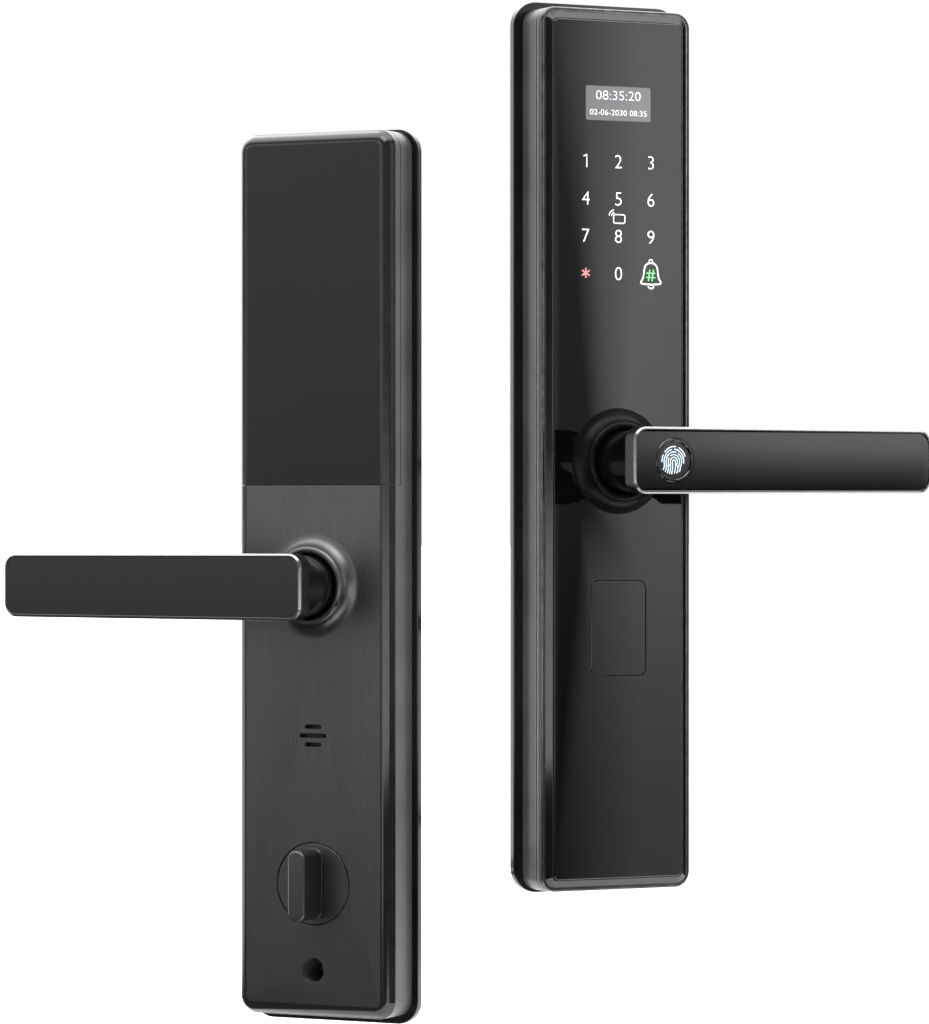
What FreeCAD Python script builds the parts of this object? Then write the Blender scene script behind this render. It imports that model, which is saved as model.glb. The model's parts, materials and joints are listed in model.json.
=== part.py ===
import FreeCAD, Part
import math
import os

from FreeCAD import Placement, Rotation, Vector

os.makedirs("parts", exist_ok=True)

# A keypad smart lock: the outdoor half with keypad and lever, and the indoor half with its battery case.
# Each half is modelled in its own frame: +X to the right seen from its front, +Z up, its door face at Y = 0
# and its handle axis through the origin. A depth is counted from the door face towards the user, along -Y.

# ---- sizes of the two panels, mm
panel_height = 380.0
panel_rise = 5.0
outdoor_plate_reach = 4.2
indoor_plate_reach = 2.8
plate_reach_long = 3.4
plate_reach_short = 1.2
gasket_thickness = 1.0
gasket_inset = 2.0
gasket_width = 4.0
outdoor_plate_corner = 11.0
indoor_plate_corner = 10.0
plate_thickness = 3.8
outdoor_width = 73.6
outdoor_corner = 7.0
outdoor_side_depth = 10.4
outdoor_frame_depth = 6.6
outdoor_wall = 2.0
frame_rim = 1.5
frame_edge_round = 0.9
frame_channel_depth = 0.5
frame_bevel_width = 2.9
frame_bevel_rise = 1.5
frame_ledge = 2.4
panel_thickness = 2.0
indoor_corner = 8.0
indoor_side_depth = 15.2
indoor_bevel_width = 5.3
indoor_bevel_rise = 3.8
indoor_roll_start = 25.0
indoor_wall = 2.2

# ---- handle set, mm
lever_length = 148.5
lever_heel = 18.2
lever_heel_height = 28.4
lever_tip_height = 27.4
lever_thickness = 8.0
lever_corner = 6.0
lever_chamfer = 0.8
outdoor_lever_front = 70.0
indoor_lever_front = 66.3
inlay_inset = 1.3
inlay_thickness = 0.9
neck_radius = 13.5
stem_radius = 9.5
hub_radius = 7.0
bush_wall = 1.75
tube_wall = 1.85
stop_room = 4.6
stop_thickness = 1.3
flare_height = 6.0
flare_crest_radius = 1.6
flare_foot_radius = 6.0
spindle_size = 8.0
spindle_reach = 60.0
lever_travel = 45.0
stop_lobe_radius = 20.0
stop_lobe_half_angle = 12.0
stop_post_circle = 18.0
stop_post_radius = 2.0
spring_wire = 1.0
spring_turns = 2.0
ring_thickness = 0.9
plate_to_stem = 0.4

# ---- keypad, display and key cover, mm
key_pitch = 16.1
key_size = 9.0
keypad_top = 129.2
display_width = 32.0
display_height = 14.8
display_centre = 154.2
key_cover_width = 27.0
key_cover_height = 41.0
key_cover_corner = 3.5
key_cylinder_drop = 72.0
sensor_radius = 7.6
sensor_bezel_radius = 9.4
sensor_offset = 1.5

# ---- indoor controls, mm
battery_cover_bottom = 43.2
battery_cover_skirt = 8.6
battery_cover_wall = 1.5
cell_radius = 7.1
cell_length = 49.2
cell_gap = 0.7
cell_columns = 4
cell_rows = 2
nub_length = 1.0
nub_radius = 2.7
contact_room = 2.6
tray_wall = 1.2
tray_play = 0.6
tray_depth = 8.0
tray_side_room = 6.9
slot_height = 1.7
slot_pitch = 3.85
slot_long = 13.0
slot_short = 8.0
slot_drop = 64.4
thumbturn_radius = 17.5
thumbturn_gap = 0.35
thumbturn_drop = 128.0
paddle_width = 8.0
paddle_height = 30.0
paddle_reach = 15.0
fixing_hole_radius = 5.25
fixing_drop = 165.0

# ---- boards inside, mm
board_thickness = 1.6
board_standoff = 3.8
board_corner = 2.0
control_board_width = 56.0
control_board_height = 92.0
control_board_centre = 108.0
control_screw_inset = 3.5
touch_board_height = 100.0
touch_board_centre = 118.0
touch_board_lift = 2.2
touch_post_radius = 2.4
touch_post_side_inset = 2.9
touch_post_end_inset = 4.0
ribbon_slot_width = 20.0
ribbon_slot_height = 8.0
ribbon_slot_rise = 72.0
indoor_board_width = 56.0
indoor_board_height = 76.0
indoor_board_centre = -66.0
indoor_screw_inset = 4.0
speaker_radius = 14.0

# ---- key cylinder, clutch and thumbturn mechanism, mm
cylinder_radius = 9.5
cylinder_flange = 11.0
cylinder_flange_thickness = 1.6
plug_radius = 6.3
tail_width = 7.0
tail_thickness = 2.0
tail_reach = 38.0
nut_thickness = 3.0
clutch_pin_radius = 0.8
clutch_travel = 0.9
slider_width = 10.0
slider_height = 14.0
rail_width = 1.5
worm_radius = 1.5
worm_turns = 6
motor_radius = 3.9
motor_length = 12.0
motor_shaft_radius = 0.5
thumbturn_flange = 1.8
thumbturn_boss_radius = 6.0
thumbturn_square = 5.0
bracket_width = 54.0
bracket_height = 40.0
bracket_thickness = 1.6
bracket_screw_inset_x = 4.0
bracket_screw_inset_z = 5.0
cam_size = 13.0
cam_corner = 2.4
leaf_length = 26.0

# ---- fasteners and openings, mm
bolt_spacing_x = 48.0
bolt_end_inset = 27.0
bolt_radius = 2.5
plate_screw_side_inset = 8.8
plate_screw_end_inset = 12.0
post_radius = 4.0
post_head_radius = 6.5
post_head_thickness = 2.0
post_reach = 20.0
small_screw_radius = 1.5
board_screw_radius = 1.0
board_screw_hole = 1.2
board_post_radius = 2.6
cable_opening_width = 16.0
cable_opening_height = 9.0
cable_opening_rise = 52.0
indoor_cable_rise = 30.0

# ---- clearances, mm
running = 0.05
seated = 0.02
sliding = 0.2
seam = 0.15

# ---- place of the indoor half beside the outdoor half
indoor_turn = -55.5
indoor_place = Vector(-101.6, 41.7, -53.6)

# ---- sizes and depths worked out from the sizes above
outdoor_plate_width = outdoor_width + 2 * outdoor_plate_reach
plate_height = panel_height + plate_reach_long + plate_reach_short
bolt_spacing_z = panel_height - 2 * bolt_end_inset
cell_pitch = 2 * cell_radius + cell_gap
tray_inner_width = cell_columns * cell_pitch + tray_play
indoor_width = tray_inner_width + 2 * (tray_wall + tray_side_room)
indoor_plate_width = indoor_width + 2 * indoor_plate_reach
plate_back = gasket_thickness
plate_front = plate_back + plate_thickness
outdoor_shoulder = plate_front + outdoor_side_depth
outdoor_rim = outdoor_shoulder + outdoor_frame_depth
outdoor_face = outdoor_rim + panel_thickness
indoor_shoulder = plate_front + indoor_side_depth
indoor_face = indoor_shoulder + indoor_bevel_rise
indoor_wall_back = indoor_face - indoor_wall
stem_end = plate_front + plate_to_stem
bore_radius = neck_radius + 8 * running


# ---- shape helpers
def outline(width, height, radius, depth, x=0.0, z=0.0):
    """Closed rounded rectangle at one depth."""
    left, right = x - width / 2, x + width / 2
    low, high = z - height / 2, z + height / 2
    mid = radius * (1 - math.sqrt(0.5))
    y = -depth
    corners = [
        (Vector(right - radius, y, low), Vector(right - mid, y, low + mid), Vector(right, y, low + radius)),
        (Vector(right, y, high - radius), Vector(right - mid, y, high - mid),
         Vector(right - radius, y, high)),
        (Vector(left + radius, y, high), Vector(left + mid, y, high - mid), Vector(left, y, high - radius)),
        (Vector(left, y, low + radius), Vector(left + mid, y, low + mid), Vector(left + radius, y, low)),
    ]
    edges = []
    for index, corner in enumerate(corners):
        edges.append(Part.Arc(*corner).toShape())
        following = corners[(index + 1) % 4]
        edges.append(Part.makeLine(corner[2], following[0]))
    return Part.Wire(edges)


def slab(width, height, radius, back, front, x=0.0, z=0.0):
    """Rounded plate between two depths."""
    face = Part.Face(outline(width, height, radius, back, x, z))
    return face.extrude(Vector(0, back - front, 0))


def tapered_slab(width, height, radius, profile, z=0.0):
    """Rounded plate whose outline is drawn in by each (inset, depth) of the profile."""
    wires = []
    for inset, depth in profile:
        corner = max(radius - inset, 1.0)
        wires.append(outline(width - 2 * inset, height - 2 * inset, corner, depth, 0.0, z))
    return Part.makeLoft(wires, True, True)


def rolled(width, rise, foot_depth, start_angle, steps):
    """Profile points of a quarter of an ellipse that meets the face flush, as (inset, depth)."""
    points = []
    lead = 1 - math.cos(math.radians(start_angle))
    lift = math.sin(math.radians(start_angle))
    for step in range(steps + 1):
        angle = math.radians(start_angle + (90 - start_angle) * step / steps)
        inset = width * (1 - math.cos(angle) - lead) / (1 - lead)
        points.append((inset, foot_depth + rise * (math.sin(angle) - lift) / (1 - lift)))
    return points


def block(width, height, back, front, x=0.0, z=0.0):
    corner = Vector(x - width / 2, -front, z - height / 2)
    return Part.makeBox(width, front - back, height, corner)


def disc(radius, back, front, x=0.0, z=0.0):
    return Part.makeCylinder(radius, front - back, Vector(x, -back, z), Vector(0, -1, 0))


def tube(outer, inner, back, front, x=0.0, z=0.0):
    return disc(outer, back, front, x, z).cut(disc(inner, back, front, x, z))


def standing(radius, length, depth, foot, x=0.0):
    """Cylinder along Z whose lower end is at the height foot."""
    return Part.makeCylinder(radius, length, Vector(x, -depth, foot), Vector(0, 0, 1))


def countersunk_screw(radius, head_depth, tip_depth, x, z):
    """Flat-head screw driven from the door side: the head's rim lies at head_depth."""
    cone_height = radius
    head = Part.makeCone(2 * radius, radius, cone_height, Vector(x, -head_depth, z), Vector(0, -1, 0))
    shank = disc(radius, head_depth + cone_height, tip_depth, x, z)
    socket = disc(0.8 * radius, head_depth, head_depth + 0.5 * radius, x, z)
    return head.fuse(shank).cut(socket)


def pan_screw(radius, seat, head_towards_user, length, x, z):
    """Pan-head screw whose head rests at the depth seat and whose shank runs the other way."""
    sign = 1 if head_towards_user else -1
    head_height = 1.2 * radius
    head_axis = Vector(0, -sign, 0)
    head = Part.makeCylinder(1.9 * radius, head_height, Vector(x, -seat, z), head_axis)
    shank = Part.makeCylinder(radius, length, Vector(x, -seat, z), Vector(0, sign, 0))
    slot_width = 0.5 * radius
    slot_depth = 0.5 * head_height
    outer = seat + sign * head_height
    inner = outer - sign * slot_depth
    slot = block(3.0 * radius, slot_width, min(inner, outer), max(inner, outer), x, z)
    cross = block(slot_width, 3.0 * radius, min(inner, outer), max(inner, outer), x, z)
    return head.fuse(shank).cut(slot.fuse(cross))


def grid(spacing_x, spacing_z, centre_z):
    """The four corners of a rectangle of screws or bolts."""
    corners = []
    for side_z in (1, -1):
        for side_x in (-1, 1):
            corners.append((side_x * spacing_x / 2, centre_z + side_z * spacing_z / 2))
    return corners


def save_outdoor(name, *solids):
    shape = Part.makeCompound(list(solids))
    shape.exportStep("parts/" + name + ".step")


def beside(solid):
    """Move a solid of the indoor half to its place beside the outdoor half."""
    copy = solid.copy()
    copy.Placement = Placement(indoor_place, Rotation(Vector(0, 0, 1), indoor_turn)).multiply(copy.Placement)
    return copy


def save_indoor(name, *solids):
    save_outdoor(name, *[beside(solid) for solid in solids])


# ---- pieces that both halves have
def door_gasket(width, corner, rise):
    outer_width = width - 2 * gasket_inset
    outer_height = plate_height - 2 * gasket_inset
    corner = corner - gasket_inset
    ring = slab(outer_width, outer_height, corner, 0, gasket_thickness, 0, rise)
    hole = slab(outer_width - 2 * gasket_width, outer_height - 2 * gasket_width, corner - gasket_width, 0,
                gasket_thickness, 0, rise)
    return ring.cut(hole)


def flare(face_depth, sunk):
    """Smooth collar that rises from a face round the neck: a hollow arc from the face, then a round crest."""
    crest = bore_radius + flare_crest_radius
    crest_height = flare_height - flare_crest_radius
    reach = math.sqrt((flare_foot_radius + flare_crest_radius) ** 2 - (flare_foot_radius - crest_height) ** 2)
    foot = crest + reach
    share = flare_foot_radius / (flare_foot_radius + flare_crest_radius)
    join = (foot - reach * share, flare_foot_radius + (crest_height - flare_foot_radius) * share)
    lean = math.atan2(foot - join[0], flare_foot_radius - join[1])
    foot_mid = (foot - flare_foot_radius * math.sin(lean / 2),
                flare_foot_radius - flare_foot_radius * math.cos(lean / 2))
    half = math.sqrt(0.5)
    rise = math.atan2(join[1] - crest_height, join[0] - crest) / 2 + math.pi / 4
    crest_mid = (crest + flare_crest_radius * math.cos(rise),
                 crest_height + flare_crest_radius * math.sin(rise))
    lip_mid = (crest - flare_crest_radius * half, crest_height + flare_crest_radius * half)

    def point(spot):
        return Vector(spot[0], -(face_depth + spot[1]), 0)

    edges = [
        Part.Arc(point((foot, 0)), point(foot_mid), point(join)).toShape(),
        Part.Arc(point(join), point(crest_mid), point((crest, flare_height))).toShape(),
        Part.Arc(point((crest, flare_height)), point(lip_mid), point((bore_radius, crest_height))).toShape(),
        Part.makeLine(point((bore_radius, crest_height)), point((bore_radius, -sunk))),
        Part.makeLine(point((bore_radius, -sunk)), point((foot, -sunk))),
        Part.makeLine(point((foot, -sunk)), point((foot, 0))),
    ]
    return Part.Face(Part.Wire(edges)).revolve(Vector(0, 0, 0), Vector(0, 1, 0), 360)


def lever_prism(inset, radius, back, front, hand):
    """The lever's outline, a little lower at its tip, drawn in by inset."""
    heel = -hand * (lever_heel - inset)
    tip = hand * (lever_length - lever_heel - inset)
    heel_half = lever_heel_height / 2 - inset
    tip_half = lever_tip_height / 2 - inset
    spots = [(heel, -heel_half), (tip, -tip_half), (tip, tip_half), (heel, heel_half)]
    points = [Vector(spot[0], -back, spot[1]) for spot in spots]
    prism = Part.Face(Part.makePolygon(points + points[:1])).extrude(Vector(0, back - front, 0))
    upright = [edge for edge in prism.Edges if abs(edge.Vertexes[0].Y - edge.Vertexes[1].Y) > 0.1]
    return prism.makeFillet(radius, upright)


def handle_set(lever_front, front_wall_front, hand):
    """Lever, neck and what carries them in one half, as a dictionary of solids."""
    pieces = {}
    lever_back = lever_front - lever_thickness
    tube_back = stem_end + stop_room
    tube_front = front_wall_front
    shoulder = tube_front + 3.6
    stop_back = tube_back - sliding - stop_thickness
    groove_back = stop_back - ring_thickness
    spigot_radius = 8.0
    spigot_length = 2.8
    wire_radius = 2.5

    neck = disc(neck_radius, shoulder, lever_back)
    neck = neck.fuse(disc(stem_radius, stem_end, shoulder))
    neck = neck.fuse(disc(spigot_radius, lever_back, lever_back + spigot_length))
    neck = neck.cut(tube(stem_radius + 1, stem_radius - 0.8, groove_back, stop_back))
    pieces["neck"] = neck.removeSplitter()
    pieces["lever_front"] = lever_front

    lever = lever_prism(0, lever_corner, lever_back, lever_front, hand)
    front_edges = [edge for edge in lever.Edges
                   if all(abs(vertex.Y + lever_front) < 0.001 for vertex in edge.Vertexes)]
    lever = lever.makeChamfer(lever_chamfer, front_edges)
    pocket_back = lever_front - inlay_thickness
    lever = lever.cut(lever_prism(inlay_inset - seated, lever_corner - inlay_inset, pocket_back,
                                  lever_front + 1, hand))
    lever = lever.cut(disc(spigot_radius + seated, lever_back, lever_back + spigot_length + 0.2))
    inlay = lever_prism(inlay_inset, lever_corner - inlay_inset, pocket_back, lever_front - 0.1, hand)
    pieces["lever"] = lever
    pieces["lever_face"] = inlay

    bush_inner = stem_radius + running
    bush_outer = stem_radius + bush_wall
    bush = tube(bush_outer, bush_inner, tube_back, tube_front)
    bush = bush.fuse(tube(neck_radius - 0.7, bush_inner, tube_front, shoulder - sliding))
    pieces["bush"] = bush.removeSplitter()

    tube_inner = bush_outer + seated
    pieces["tube"] = disc(tube_inner + tube_wall, tube_back, tube_front)
    pieces["tube_bore"] = disc(tube_inner, tube_back - 1, tube_front + 1)
    pieces["tube_outer"] = tube_inner + tube_wall
    pieces["tube_back"] = tube_back

    plate_radius = tube_inner + tube_wall + 1.8
    lobe = Part.makeCylinder(stop_lobe_radius, stop_thickness, Vector(0, -stop_back, 0), Vector(0, -1, 0),
                             2 * stop_lobe_half_angle)
    lobe.rotate(Vector(0, 0, 0), Vector(0, 1, 0), angle_to_bottom(lobe))
    stop = disc(plate_radius, stop_back, stop_back + stop_thickness).fuse(lobe)
    stop = stop.cut(disc(stem_radius + seated, stop_back, stop_back + stop_thickness))
    pieces["stop_plate"] = stop.removeSplitter()

    ring = tube(stem_radius + 1.6, stem_radius - 0.8 + seated, groove_back + seated, stop_back - seated)
    ring = ring.cut(block(4.0, 2 * stem_radius, groove_back, stop_back, 0, -stem_radius - 3))
    pieces["retaining_ring"] = ring

    spring_radius = tube_inner + tube_wall + running * 6 + spring_wire / 2
    pitch = spring_wire * 1.06
    helix = Part.makeHelix(pitch, pitch * spring_turns, spring_radius)
    section = Part.Wire(Part.makeCircle(spring_wire / 2, Vector(spring_radius, 0, 0), Vector(0, 1, 0)))
    coil = Part.Wire(helix.Edges).makePipeShell([section], True, True)
    coil.rotate(Vector(0, 0, 0), Vector(1, 0, 0), 90)
    coil.translate(Vector(0, -(tube_back + sliding + spring_wire / 2), 0))
    pieces["return_spring"] = coil

    posts = []
    post_angle = (lever_travel + stop_lobe_half_angle + 1.0
                  + math.degrees(math.asin(stop_post_radius / stop_post_circle)))
    for side in (-1, 1):
        angle = math.radians(-90 + side * post_angle)
        posts.append((stop_post_circle * math.cos(angle), stop_post_circle * math.sin(angle)))
    pieces["stop_posts"] = posts
    pieces["stop_back"] = stop_back
    pieces["groove_back"] = groove_back
    pieces["wire_hole"] = disc(wire_radius, stem_end, lever_front - inlay_thickness)
    return pieces


def angle_to_bottom(sector):
    """How far to turn a sector about Y so that its middle points straight down."""
    middle = sector.CenterOfMass
    heading = math.degrees(math.atan2(middle.x, middle.z))
    return 180 - heading


# ---- outdoor half
outdoor_plate_rise = panel_rise + (plate_reach_long - plate_reach_short) / 2
outdoor = handle_set(outdoor_lever_front, outdoor_rim - seated, 1)
bolts = grid(bolt_spacing_x, bolt_spacing_z, panel_rise)
outdoor_screws = grid(outdoor_width - 2 * plate_screw_side_inset, panel_height - 2 * plate_screw_end_inset,
                      panel_rise)
control_board_back = plate_front + board_standoff
control_screws = grid(control_board_width - 2 * control_screw_inset,
                      control_board_height - 2 * control_screw_inset, control_board_centre)
key_spots = [((column - 1) * key_pitch, keypad_top - row * key_pitch)
             for row in range(4) for column in range(3)]
touch_board_back = outdoor_shoulder + touch_board_lift
touch_board_front = touch_board_back + board_thickness
guide_front = outdoor_rim - 0.1
bevel_foot = frame_rim + 0.5
bevel_top = frame_rim + 0.3 + frame_bevel_width
pocket_inset = bevel_top + 0.3
touch_board_width = outdoor_width - 2 * (pocket_inset + frame_ledge + 0.5)
clutch_depth = stem_end + 1.1
slider_foot = stem_radius + clutch_travel + 0.2


def outdoor_back_plate():
    plate = slab(outdoor_plate_width, plate_height, outdoor_plate_corner, plate_back, plate_front, 0,
                 outdoor_plate_rise)
    plate = plate.cut(disc(spindle_size, plate_back, plate_front))
    plate = plate.cut(disc(spindle_size, plate_back, plate_front, 0, -key_cylinder_drop))
    plate = plate.cut(slab(cable_opening_width, cable_opening_height, 2.0, plate_back, plate_front, 0,
                           cable_opening_rise))
    for x, z in bolts:
        plate = plate.cut(disc(post_radius + seated, plate_back, plate_front, x, z))
    for x, z in outdoor_screws:
        plate = plate.cut(disc(small_screw_radius + 0.1, plate_back, plate_front, x, z))
        sink = Part.makeCone(2 * small_screw_radius + 0.3, small_screw_radius + 0.1, small_screw_radius + 0.2,
                             Vector(x, -plate_back, z), Vector(0, -1, 0))
        plate = plate.cut(sink)
    for side in (-1, 1):
        rail_x = side * (slider_width / 2 + sliding + rail_width / 2)
        plate = plate.fuse(block(rail_width, 12.0, plate_front, plate_front + 2.0, rail_x, slider_foot + 6.0))
    save_outdoor("outdoor_back_plate", plate)


def mounting_posts():
    posts = []
    for x, z in bolts:
        post = disc(post_head_radius, plate_front, plate_front + post_head_thickness, x, z)
        post = post.fuse(disc(post_radius, -post_reach, plate_front, x, z))
        post = post.cut(disc(bolt_radius, -post_reach, plate_front - 2.0, x, z))
        posts.append(post.removeSplitter())
    save_outdoor("mounting_posts", *posts)


def outdoor_plate_screws():
    tip = outdoor_shoulder - outdoor_wall - 1.0
    screws = [countersunk_screw(small_screw_radius, plate_back, tip, x, z) for x, z in outdoor_screws]
    save_outdoor("outdoor_plate_screws", *screws)


usb_width = 9.0
usb_depth = 3.3
usb_centre = plate_front + 5.0
panel_bottom = panel_rise - panel_height / 2
panel_top = panel_rise + panel_height / 2
well_ledge = 1.5
well_wall = 1.5
cover_well_width = key_cover_width - 2 * well_ledge
cover_well_height = key_cover_height - 2 * well_ledge
touch_posts = grid(touch_board_width - 2 * touch_post_side_inset,
                   touch_board_height - 2 * touch_post_end_inset, touch_board_centre)


def outdoor_housing():
    inner_width = outdoor_width - 2 * outdoor_wall
    inner_height = panel_height - 2 * outdoor_wall
    wall_back = outdoor_shoulder - outdoor_wall
    body = slab(outdoor_width, panel_height, outdoor_corner, plate_front, outdoor_shoulder, 0, panel_rise)
    body = body.cut(slab(inner_width, inner_height, outdoor_corner - outdoor_wall, plate_front, wall_back, 0,
                         panel_rise))
    for x, z in outdoor_screws:
        body = body.fuse(disc(3.6, plate_front, wall_back, x, z))
        body = body.cut(disc(small_screw_radius + seated, plate_front, wall_back, x, z))
    for x, z in control_screws:
        body = body.fuse(disc(board_post_radius, control_board_back + board_thickness, wall_back, x, z))
        body = body.cut(disc(board_screw_radius + seated, control_board_back + board_thickness, wall_back,
                             x, z))
    for x, z in touch_posts:
        body = body.fuse(disc(touch_post_radius, outdoor_shoulder, touch_board_back, x, z))
    for x, z in outdoor["stop_posts"]:
        body = body.fuse(disc(stop_post_radius, outdoor["stop_back"] - 0.2, wall_back, x, z))
    well = slab(cover_well_width + 2 * well_wall, cover_well_height + 2 * well_wall, key_cover_corner,
                outdoor_shoulder, outdoor_rim - seated, 0, -key_cylinder_drop)
    body = body.fuse(well)
    body = body.cut(slab(cover_well_width, cover_well_height, 2.0, outdoor_shoulder, outdoor_rim, 0,
                         -key_cylinder_drop))
    body = body.cut(disc(cylinder_radius + seated, wall_back, outdoor_shoulder, 0, -key_cylinder_drop))
    body = body.cut(slab(ribbon_slot_width, ribbon_slot_height, board_corner, wall_back, outdoor_shoulder, 0,
                         ribbon_slot_rise))
    body = body.fuse(outdoor["tube"])
    body = body.cut(outdoor["tube_bore"])
    usb_hole = block(usb_width + 0.2, outdoor_wall + 2, usb_centre - usb_depth / 2 - 0.1,
                     usb_centre + usb_depth / 2 + 0.1, 0, panel_bottom)
    body = body.cut(usb_hole)
    save_outdoor("outdoor_housing", body.removeSplitter())


def outdoor_frame():
    roll = rolled(frame_edge_round, frame_edge_round, outdoor_rim - frame_edge_round, 0.0, 4)
    side = [(0, outdoor_shoulder)] + roll
    ring = tapered_slab(outdoor_width, panel_height, outdoor_corner, side, panel_rise)
    floor = outdoor_rim - frame_channel_depth
    channel = slab(outdoor_width - 2 * frame_edge_round, panel_height - 2 * frame_edge_round,
                   outdoor_corner - frame_edge_round, floor, outdoor_rim, 0, panel_rise)
    island = slab(outdoor_width - 2 * bevel_foot, panel_height - 2 * bevel_foot, outdoor_corner - bevel_foot,
                  floor, outdoor_rim, 0, panel_rise)
    ring = ring.cut(channel.cut(island))
    bevel = tapered_slab(outdoor_width, panel_height, outdoor_corner,
                         [(bevel_foot, outdoor_rim), (bevel_top, outdoor_rim + frame_bevel_rise)], panel_rise)
    ring = ring.fuse(bevel)
    pocket_width = outdoor_width - 2 * pocket_inset
    pocket_height = panel_height - 2 * pocket_inset
    ring = ring.cut(slab(pocket_width, pocket_height, 2.6, outdoor_rim, outdoor_rim + 4, 0, panel_rise))
    inner_width = pocket_width - 2 * frame_ledge
    inner_height = pocket_height - 2 * frame_ledge
    ring = ring.cut(slab(inner_width, inner_height, 2.0, outdoor_shoulder, outdoor_rim, 0, panel_rise))
    groove_depth = 0.6
    groove_width = 0.45
    for start in (2.0, 4.6):
        back = outdoor_shoulder + start
        front = back + groove_width
        band = slab(outdoor_width + 2, panel_height + 2, outdoor_corner, back, front, 0, panel_rise)
        core = slab(outdoor_width - 2 * groove_depth, panel_height - 2 * groove_depth,
                    outdoor_corner - groove_depth, back, front, 0, panel_rise)
        ring = ring.cut(band.cut(core))
    save_outdoor("outdoor_frame", ring)
    return pocket_width - 2 * seam, pocket_height - 2 * seam


def front_panel(width, height):
    chamfer = 0.4
    panel = tapered_slab(width, height, 2.6, [(0, outdoor_rim), (0, outdoor_face - chamfer),
                                              (chamfer, outdoor_face)], panel_rise)
    panel = panel.cut(disc(bore_radius + 1, outdoor_rim, outdoor_face))
    panel = panel.fuse(flare(outdoor_face, panel_thickness))
    panel = panel.cut(slab(display_width + seam, display_height + seam, 0.8, outdoor_rim, outdoor_face, 0,
                           display_centre))
    panel = panel.cut(slab(key_cover_width + 2 * sliding, key_cover_height + 2 * sliding,
                           key_cover_corner + sliding, outdoor_rim, outdoor_face, 0, -key_cylinder_drop))
    save_outdoor("front_panel", panel.removeSplitter())


def display():
    window = slab(display_width, display_height, 0.8, outdoor_rim, outdoor_face - running, 0, display_centre)
    save_outdoor("display_window", window)
    module = slab(display_width + 4, display_height + 4, 1.0, touch_board_front, outdoor_rim - seated, 0,
                  display_centre)
    save_outdoor("display_module", module)


def touch_keypad():
    board = slab(touch_board_width, touch_board_height, board_corner, touch_board_back, touch_board_front, 0,
                 touch_board_centre)
    save_outdoor("touch_keypad_board", board)
    guides = [slab(key_size, key_size, 1.5, touch_board_front, guide_front, x, z) for x, z in key_spots]
    save_outdoor("key_light_guides", *guides)
    keypad_centre = keypad_top - 1.5 * key_pitch
    coil_front = touch_board_front + 0.4
    coil_width = touch_board_width - 1.0
    coil_height = 3 * key_pitch + key_size + 12.7
    track = 2.5
    coil = slab(coil_width, coil_height, 4.0, touch_board_front, coil_front, 0, keypad_centre)
    coil = coil.cut(slab(coil_width - 2 * track, coil_height - 2 * track, 3.0, touch_board_front, coil_front,
                         0, keypad_centre))
    save_outdoor("card_reader_coil", coil)


def control_board():
    front = control_board_back + board_thickness
    board = slab(control_board_width, control_board_height, board_corner, control_board_back, front, 0,
                 control_board_centre)
    for x, z in control_screws:
        board = board.cut(disc(board_screw_hole, control_board_back, front, x, z))
    board = board.fuse(block(14.0, 14.0, front, front + 1.4, -8.0, control_board_centre + 18))
    board = board.fuse(block(10.0, 10.0, front, front + 1.2, 12.0, control_board_centre - 6))
    board = board.fuse(block(12.0, 5.0, front, front + 2.4, 0, control_board_centre - 34))
    save_outdoor("main_control_board", board)
    screws = [pan_screw(board_screw_radius, control_board_back, False, board_thickness + 2.4, x, z)
              for x, z in control_screws]
    save_outdoor("control_board_screws", *screws)
    socket_centre = control_board_centre - control_board_height / 2 + 4.0
    socket = block(13.0, 6.0, control_board_back - 3.4, control_board_back, 0, socket_centre)
    socket = socket.cut(block(11.0, 4.0, control_board_back - 3.4, control_board_back - 0.8, 0,
                              socket_centre))
    save_outdoor("cable_socket", socket)


def outdoor_handle():
    neck = outdoor["neck"].cut(disc(hub_radius + running, stem_end, outdoor_rim - 1.0))
    neck = neck.cut(outdoor["wire_hole"])
    pin_hole = standing(clutch_pin_radius + running, stem_radius, clutch_depth, 0)
    neck = neck.cut(pin_hole.cut(disc(hub_radius + running, stem_end, outdoor_rim)))
    save_outdoor("outdoor_neck", neck)
    lever_front = outdoor["lever_front"]
    bezel_back = lever_front - 3.4
    bezel_hole = disc(sensor_bezel_radius + seated, bezel_back, lever_front + 1, sensor_offset)
    lever = outdoor["lever"].cut(bezel_hole).cut(disc(2.5, lever_front - lever_thickness, lever_front))
    save_outdoor("outdoor_lever", lever)
    save_outdoor("outdoor_lever_face", outdoor["lever_face"].cut(bezel_hole))
    bezel = tube(sensor_bezel_radius, sensor_radius + 0.4, bezel_back, lever_front - 0.1, sensor_offset)
    bezel = bezel.fuse(tube(sensor_bezel_radius, 5.0, bezel_back, bezel_back + 1.0, sensor_offset))
    rim = [edge for edge in bezel.Edges if abs(edge.BoundBox.YMin + lever_front - 0.1) < 0.01
           and abs(edge.BoundBox.YMax + lever_front - 0.1) < 0.01]
    save_outdoor("fingerprint_bezel", bezel.makeChamfer(0.35, rim))
    sensor = disc(sensor_radius + 0.4 - seated, bezel_back + 1.0, lever_front - 1.0, sensor_offset)
    save_outdoor("fingerprint_sensor", sensor)
    save_outdoor("outdoor_handle_bush", outdoor["bush"])
    save_outdoor("outdoor_stop_plate", outdoor["stop_plate"])
    save_outdoor("outdoor_retaining_ring", outdoor["retaining_ring"])
    save_outdoor("outdoor_return_spring", outdoor["return_spring"])


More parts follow.
